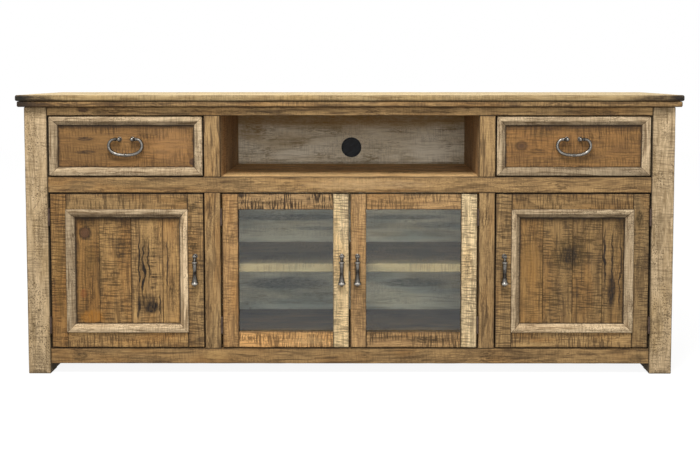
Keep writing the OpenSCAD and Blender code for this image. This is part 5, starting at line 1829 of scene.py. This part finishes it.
@dataclass
class GlassDoor(Front):
    """A glazed door: frame, pane with its beads, hinge leaves and a drop pull."""

    kind: ClassVar[str] = "glass_door"
    x: float = 2.0
    far_x: float = 372.0
    z: float = 78.0
    far_z: float = 532.0
    face: float = -232.0
    back: float = -210.5
    member: float = 46.5
    rabbet: float = 8.0
    glass_front: float = 13.0
    glass_t: float = 3.0
    pull_x: float = 23.0
    frame_looks: tuple[tuple[float, float, float], ...] = ((1.0, 0.0, 1.0),) * 4

    def build(self) -> None:
        """Builds the wooden pieces and dresses the glass and the metal."""
        x, z, split = (self.x, self.far_x), (self.z, self.far_z), self.face + self.glass_front
        # The rabbet is cut from the back, so each member is a full front strip and a narrower one behind it.
        narrow = self.member - self.rabbet
        fronts = four_boards(x, (self.face, split), z, self.member, self.member)
        behind = four_boards(x, (split, self.back), z, narrow, narrow)
        members = []
        for front, rear, (tone, warmth, marks) in zip(fronts, behind, self.frame_looks):
            members.append(replace(front, tone=tone, warmth=warmth, marks=marks, rim_tone=0.3))
            members.append(replace(rear, tone=tone))
        self._boards("members", members, GLAZED_PINE, "honey_pine", 0, "frame")
        left, right, top, bottom = four_boards(
            (self.x + narrow, self.far_x - narrow), (split + self.glass_t, self.back),
            (self.z + narrow, self.far_z - narrow), self.rabbet, self.rabbet)
        beads = [replace(bead, round_mm=1.0) for bead in (left, right, bottom, top)]
        self._boards("glazing_strips", beads, GLAZED_PINE, "honey_pine", 1, "beads")
        dress_nodes(GLASS, f"{self.body}_pane")
        dress_nodes(HINGE_IRON, f"{self.body}_hinge_leaves")
        DropPull(self.body, self.side.value * self.pull_x).build()


@dataclass
class Drawer(Front):
    """A drawer: front board with its moulding, box, slides and a bail on two posts."""

    kind: ClassVar[str] = "drawer"
    x: float = 428.0
    far_x: float = 875.0
    z: float = 584.0
    far_z: float = 757.0
    face: float = -222.0
    back: float = -204.0
    proud: float = 10.0
    box_x: float = 437.0
    box_far_x: float = 866.0
    box_back: float = 206.0
    box_z: float = 600.0
    box_far_z: float = 720.0
    wall: float = 12.0
    bottom_up: float = 3.0
    bottom_t: float = 6.0
    pull_x: float = 651.5
    tone: float = 1.0
    warmth: float = 0.15
    # Each side's moulding tone holds painted light and shade.
    moulding_tones: tuple[float, ...] = (1.0, 1.0, 1.0, 1.0)

    def _box(self) -> None:
        """Builds the box behind the front board."""
        w = self.wall
        x0, x1, y0, y1 = self.box_x, self.box_far_x, self.back, self.box_back
        z0, z1 = self.box_z, self.box_far_z
        floor_z = z0 + self.bottom_up
        boards = [
            Board((x0, y0, z0), (x0 + w, y1, z1), Run.Y),
            Board((x1 - w, y0, z0), (x1, y1, z1), Run.Y),
            Board((x0 + w, y0, z0), (x1 - w, y0 + w, z1), Run.X),
            Board((x0 + w, y1 - w, z0), (x1 - w, y1, z1), Run.X),
            Board((x0 + w, y0 + w, floor_z), (x1 - w, y1 - w, floor_z + self.bottom_t), Run.X, round_mm=0.5),
        ]
        self._boards("box_boards", boards, INNER_PINE, "plain_inner_pine", 2, "box")

    def build(self) -> None:
        """Builds the wooden pieces and dresses the metal ones."""
        front = Board((self.x, self.face, self.z), (self.far_x, self.back, self.far_z), Run.X, tone=self.tone,
                      warmth=self.warmth, marks=0.8, wear_mm=3.0, rim_tone=0.4)
        self._boards("front_board", [front], DRAWER_PINE, "honey_pine", 0, "front")
        moulding = Moulding(self.x, self.z, self.far_x - self.x, self.far_z - self.z, self.face, self.proud,
                            tones=self.moulding_tones)
        self._moulding("mitred_moulding", moulding, 1)
        self._box()
        dress_nodes(ZINC_STEEL, f"{self.body}_slides")
        BailPull(self.body, self.side.value * self.pull_x).build()


@dataclass(frozen=True)
class Lamp:
    """A soft square lamp: name, place and aim in metres, length of a side in metres and power in watts."""

    name: str
    place: Point
    aim: Point
    size: float
    power: float

    def build(self) -> None:
        """Hangs the lamp."""
        data = bpy.data.lights.new(self.name, "AREA")
        data.size = self.size
        data.energy = self.power
        lamp = bpy.data.objects.new(self.name, data)
        lamp.location = self.place
        lamp.rotation_euler = (Vector(self.aim) - Vector(self.place)).to_track_quat("-Z", "Y").to_euler()
        bpy.context.scene.collection.objects.link(lamp)


@dataclass
class Studio:
    """Plain floor, white surround, soft lamps and the camera, with lengths in metres."""

    floor_half: float = 9.0
    floor_drop: float = 0.0005
    floor_glow: float = 0.9
    floor_grey: float = 0.17
    ambient: float = 0.55
    lens: float = 55.418
    camera: Point = (0.0397, -3.3545, 0.8811)
    pitch: float = 3.625
    yaw: float = -0.114
    shift: tuple[float, float] = (-0.0159, -0.13)
    lamps: tuple[Lamp, ...] = (Lamp("key_lamp", (-0.4, -2.0, 3.4), (0.0, -0.1, 0.4), 1.2, 105.0),
                               Lamp("fill_lamp", (0.3, -4.6, 1.2), (0.0, 0.0, 0.5), 2.0, 48.0))

    def _seen(self, tree: Tree) -> Socket:
        """Finds the rays that carry the floor or the surround to the eye.

        Args:
            tree: Node tree to build in.

        Returns:
            1 for a ray that comes straight, by gloss or through glass, and 0 for light on the stand.
        """
        seen, *others = (add(tree, "ShaderNodeLightPath", out=f"Is {kind} Ray")
                         for kind in ("Camera", "Glossy", "Transmission"))
        for ray in others:
            seen = add(tree, MATH, (seen, ray), operation="MAXIMUM")
        return seen

    def _floor(self) -> None:
        """Lays a floor that reads white to the camera and still keeps the stand's soft shadow."""
        material, tree = start_material("studio_floor")
        level = add(tree, MATH, (self._seen(tree), self.floor_glow), operation="MULTIPLY")
        glow = add(tree, "ShaderNodeEmission", {"Color": (1.0, 1.0, 1.0, 1.0), "Strength": level})
        plain = add(tree, "ShaderNodeBsdfDiffuse", {"Color": (*(self.floor_grey,) * 3, 1.0)})
        end_material(tree, add(tree, "ShaderNodeAddShader", (glow, plain)))
        half = self.floor_half
        mesh = bpy.data.meshes.new("studio_floor")
        mesh.from_pydata([(-half, -half, 0), (half, -half, 0), (half, half, 0), (-half, half, 0)], [],
                         [(0, 1, 2, 3)])
        mesh.materials.append(material)
        floor = bpy.data.objects.new("studio_floor", mesh)
        floor.location.z = -self.floor_drop
        bpy.context.scene.collection.objects.link(floor)

    def _surround(self) -> None:
        """Makes a world that is white to the eye, to gloss and through glass, and lights at a plain level."""
        world = bpy.data.worlds.new("studio_surround")
        world.use_nodes = True
        tree = world.node_tree
        tree.nodes.clear()
        level = add(tree, RANGE, {"Value": self._seen(tree), "To Min": self.ambient, "To Max": 1.0})
        glow = add(tree, "ShaderNodeBackground", {"Color": (1.0, 1.0, 1.0, 1.0), "Strength": level})
        end_material(tree, glow, "ShaderNodeOutputWorld")
        bpy.context.scene.world = world

    def _camera(self) -> None:
        """Puts a camera at the photograph's place, height and angle."""
        data = bpy.data.cameras.new("photo_camera")
        data.lens = self.lens
        data.sensor_width = 36.0
        data.shift_x, data.shift_y = self.shift
        camera = bpy.data.objects.new("photo_camera", data)
        camera.location = self.camera
        camera.rotation_euler = (math.radians(90 - self.pitch), 0.0, -math.radians(self.yaw))
        bpy.context.scene.collection.objects.link(camera)
        bpy.context.scene.camera = camera

    def build(self) -> None:
        """Builds the studio round the stand."""
        self._floor()
        self._surround()
        for lamp in self.lamps:
            lamp.build()
        self._camera()
        bpy.context.scene.view_settings.view_transform = "Standard"
        log.info("studio is in place")


def main() -> None:
    """Builds the stand piece by piece and then the studio round it."""
    logging.basicConfig(level=logging.INFO, format="%(name)s: %(message)s")
    Top().build()
    Posts().build()
    FaceFrame().build()
    Flanks().build()
    Carcass().build()
    CableOutlet().build()
    # The moulding tones make some sides of each moulding lighter and others darker: partly their own tone,
    # partly painted light and shade.
    PanelDoor(Side.LEFT, seed=20, plank_w=93.0,
              frame_looks=((1.18, 0.1), (0.97, 0.6), (1.05, 0.05), (1.32, 0.3)),
              plank_looks=((0.76, 0.6, 0.8), (1.04, 0.3, 1.0), (1.2, 0.1, 0.8), (1.22, 0.2, 0.4)),
              moulding_tones=(1.12, 0.8, 0.95, 1.42)).build()
    PanelDoor(Side.RIGHT, seed=26, plank_w=87.0,
              frame_looks=((1.12, 0.05), (1.0, -0.1), (0.96, 0.2), (1.32, 0.1)),
              plank_looks=((0.86, 0.1, 0.6), (0.9, 0.1, 1.0), (0.88, 0.1, 1.0), (0.84, 0.5, 0.7)),
              moulding_tones=(1.1, 1.0, 1.0, 1.0)).build()
    GlassDoor(Side.LEFT, seed=40,
              frame_looks=((2.5, -1.15, 0.8), (1.16, 0.25, 0.6), (1.2, -0.2, 1.5), (1.98, 0.15, 1.0))).build()
    GlassDoor(Side.RIGHT, seed=46,
              frame_looks=((1.28, 0.0, 0.6), (2.6, -1.15, 0.8), (1.14, 0.0, 0.8), (1.16, 0.0, 1.0))).build()
    Drawer(Side.LEFT, seed=60, moulding_tones=(0.84, 0.82, 1.08, 1.02)).build()
    Drawer(Side.RIGHT, seed=66, tone=1.1, moulding_tones=(0.58, 0.99, 1.05, 0.97)).build()
    Studio().build()


if __name__ == "__main__":
    main()
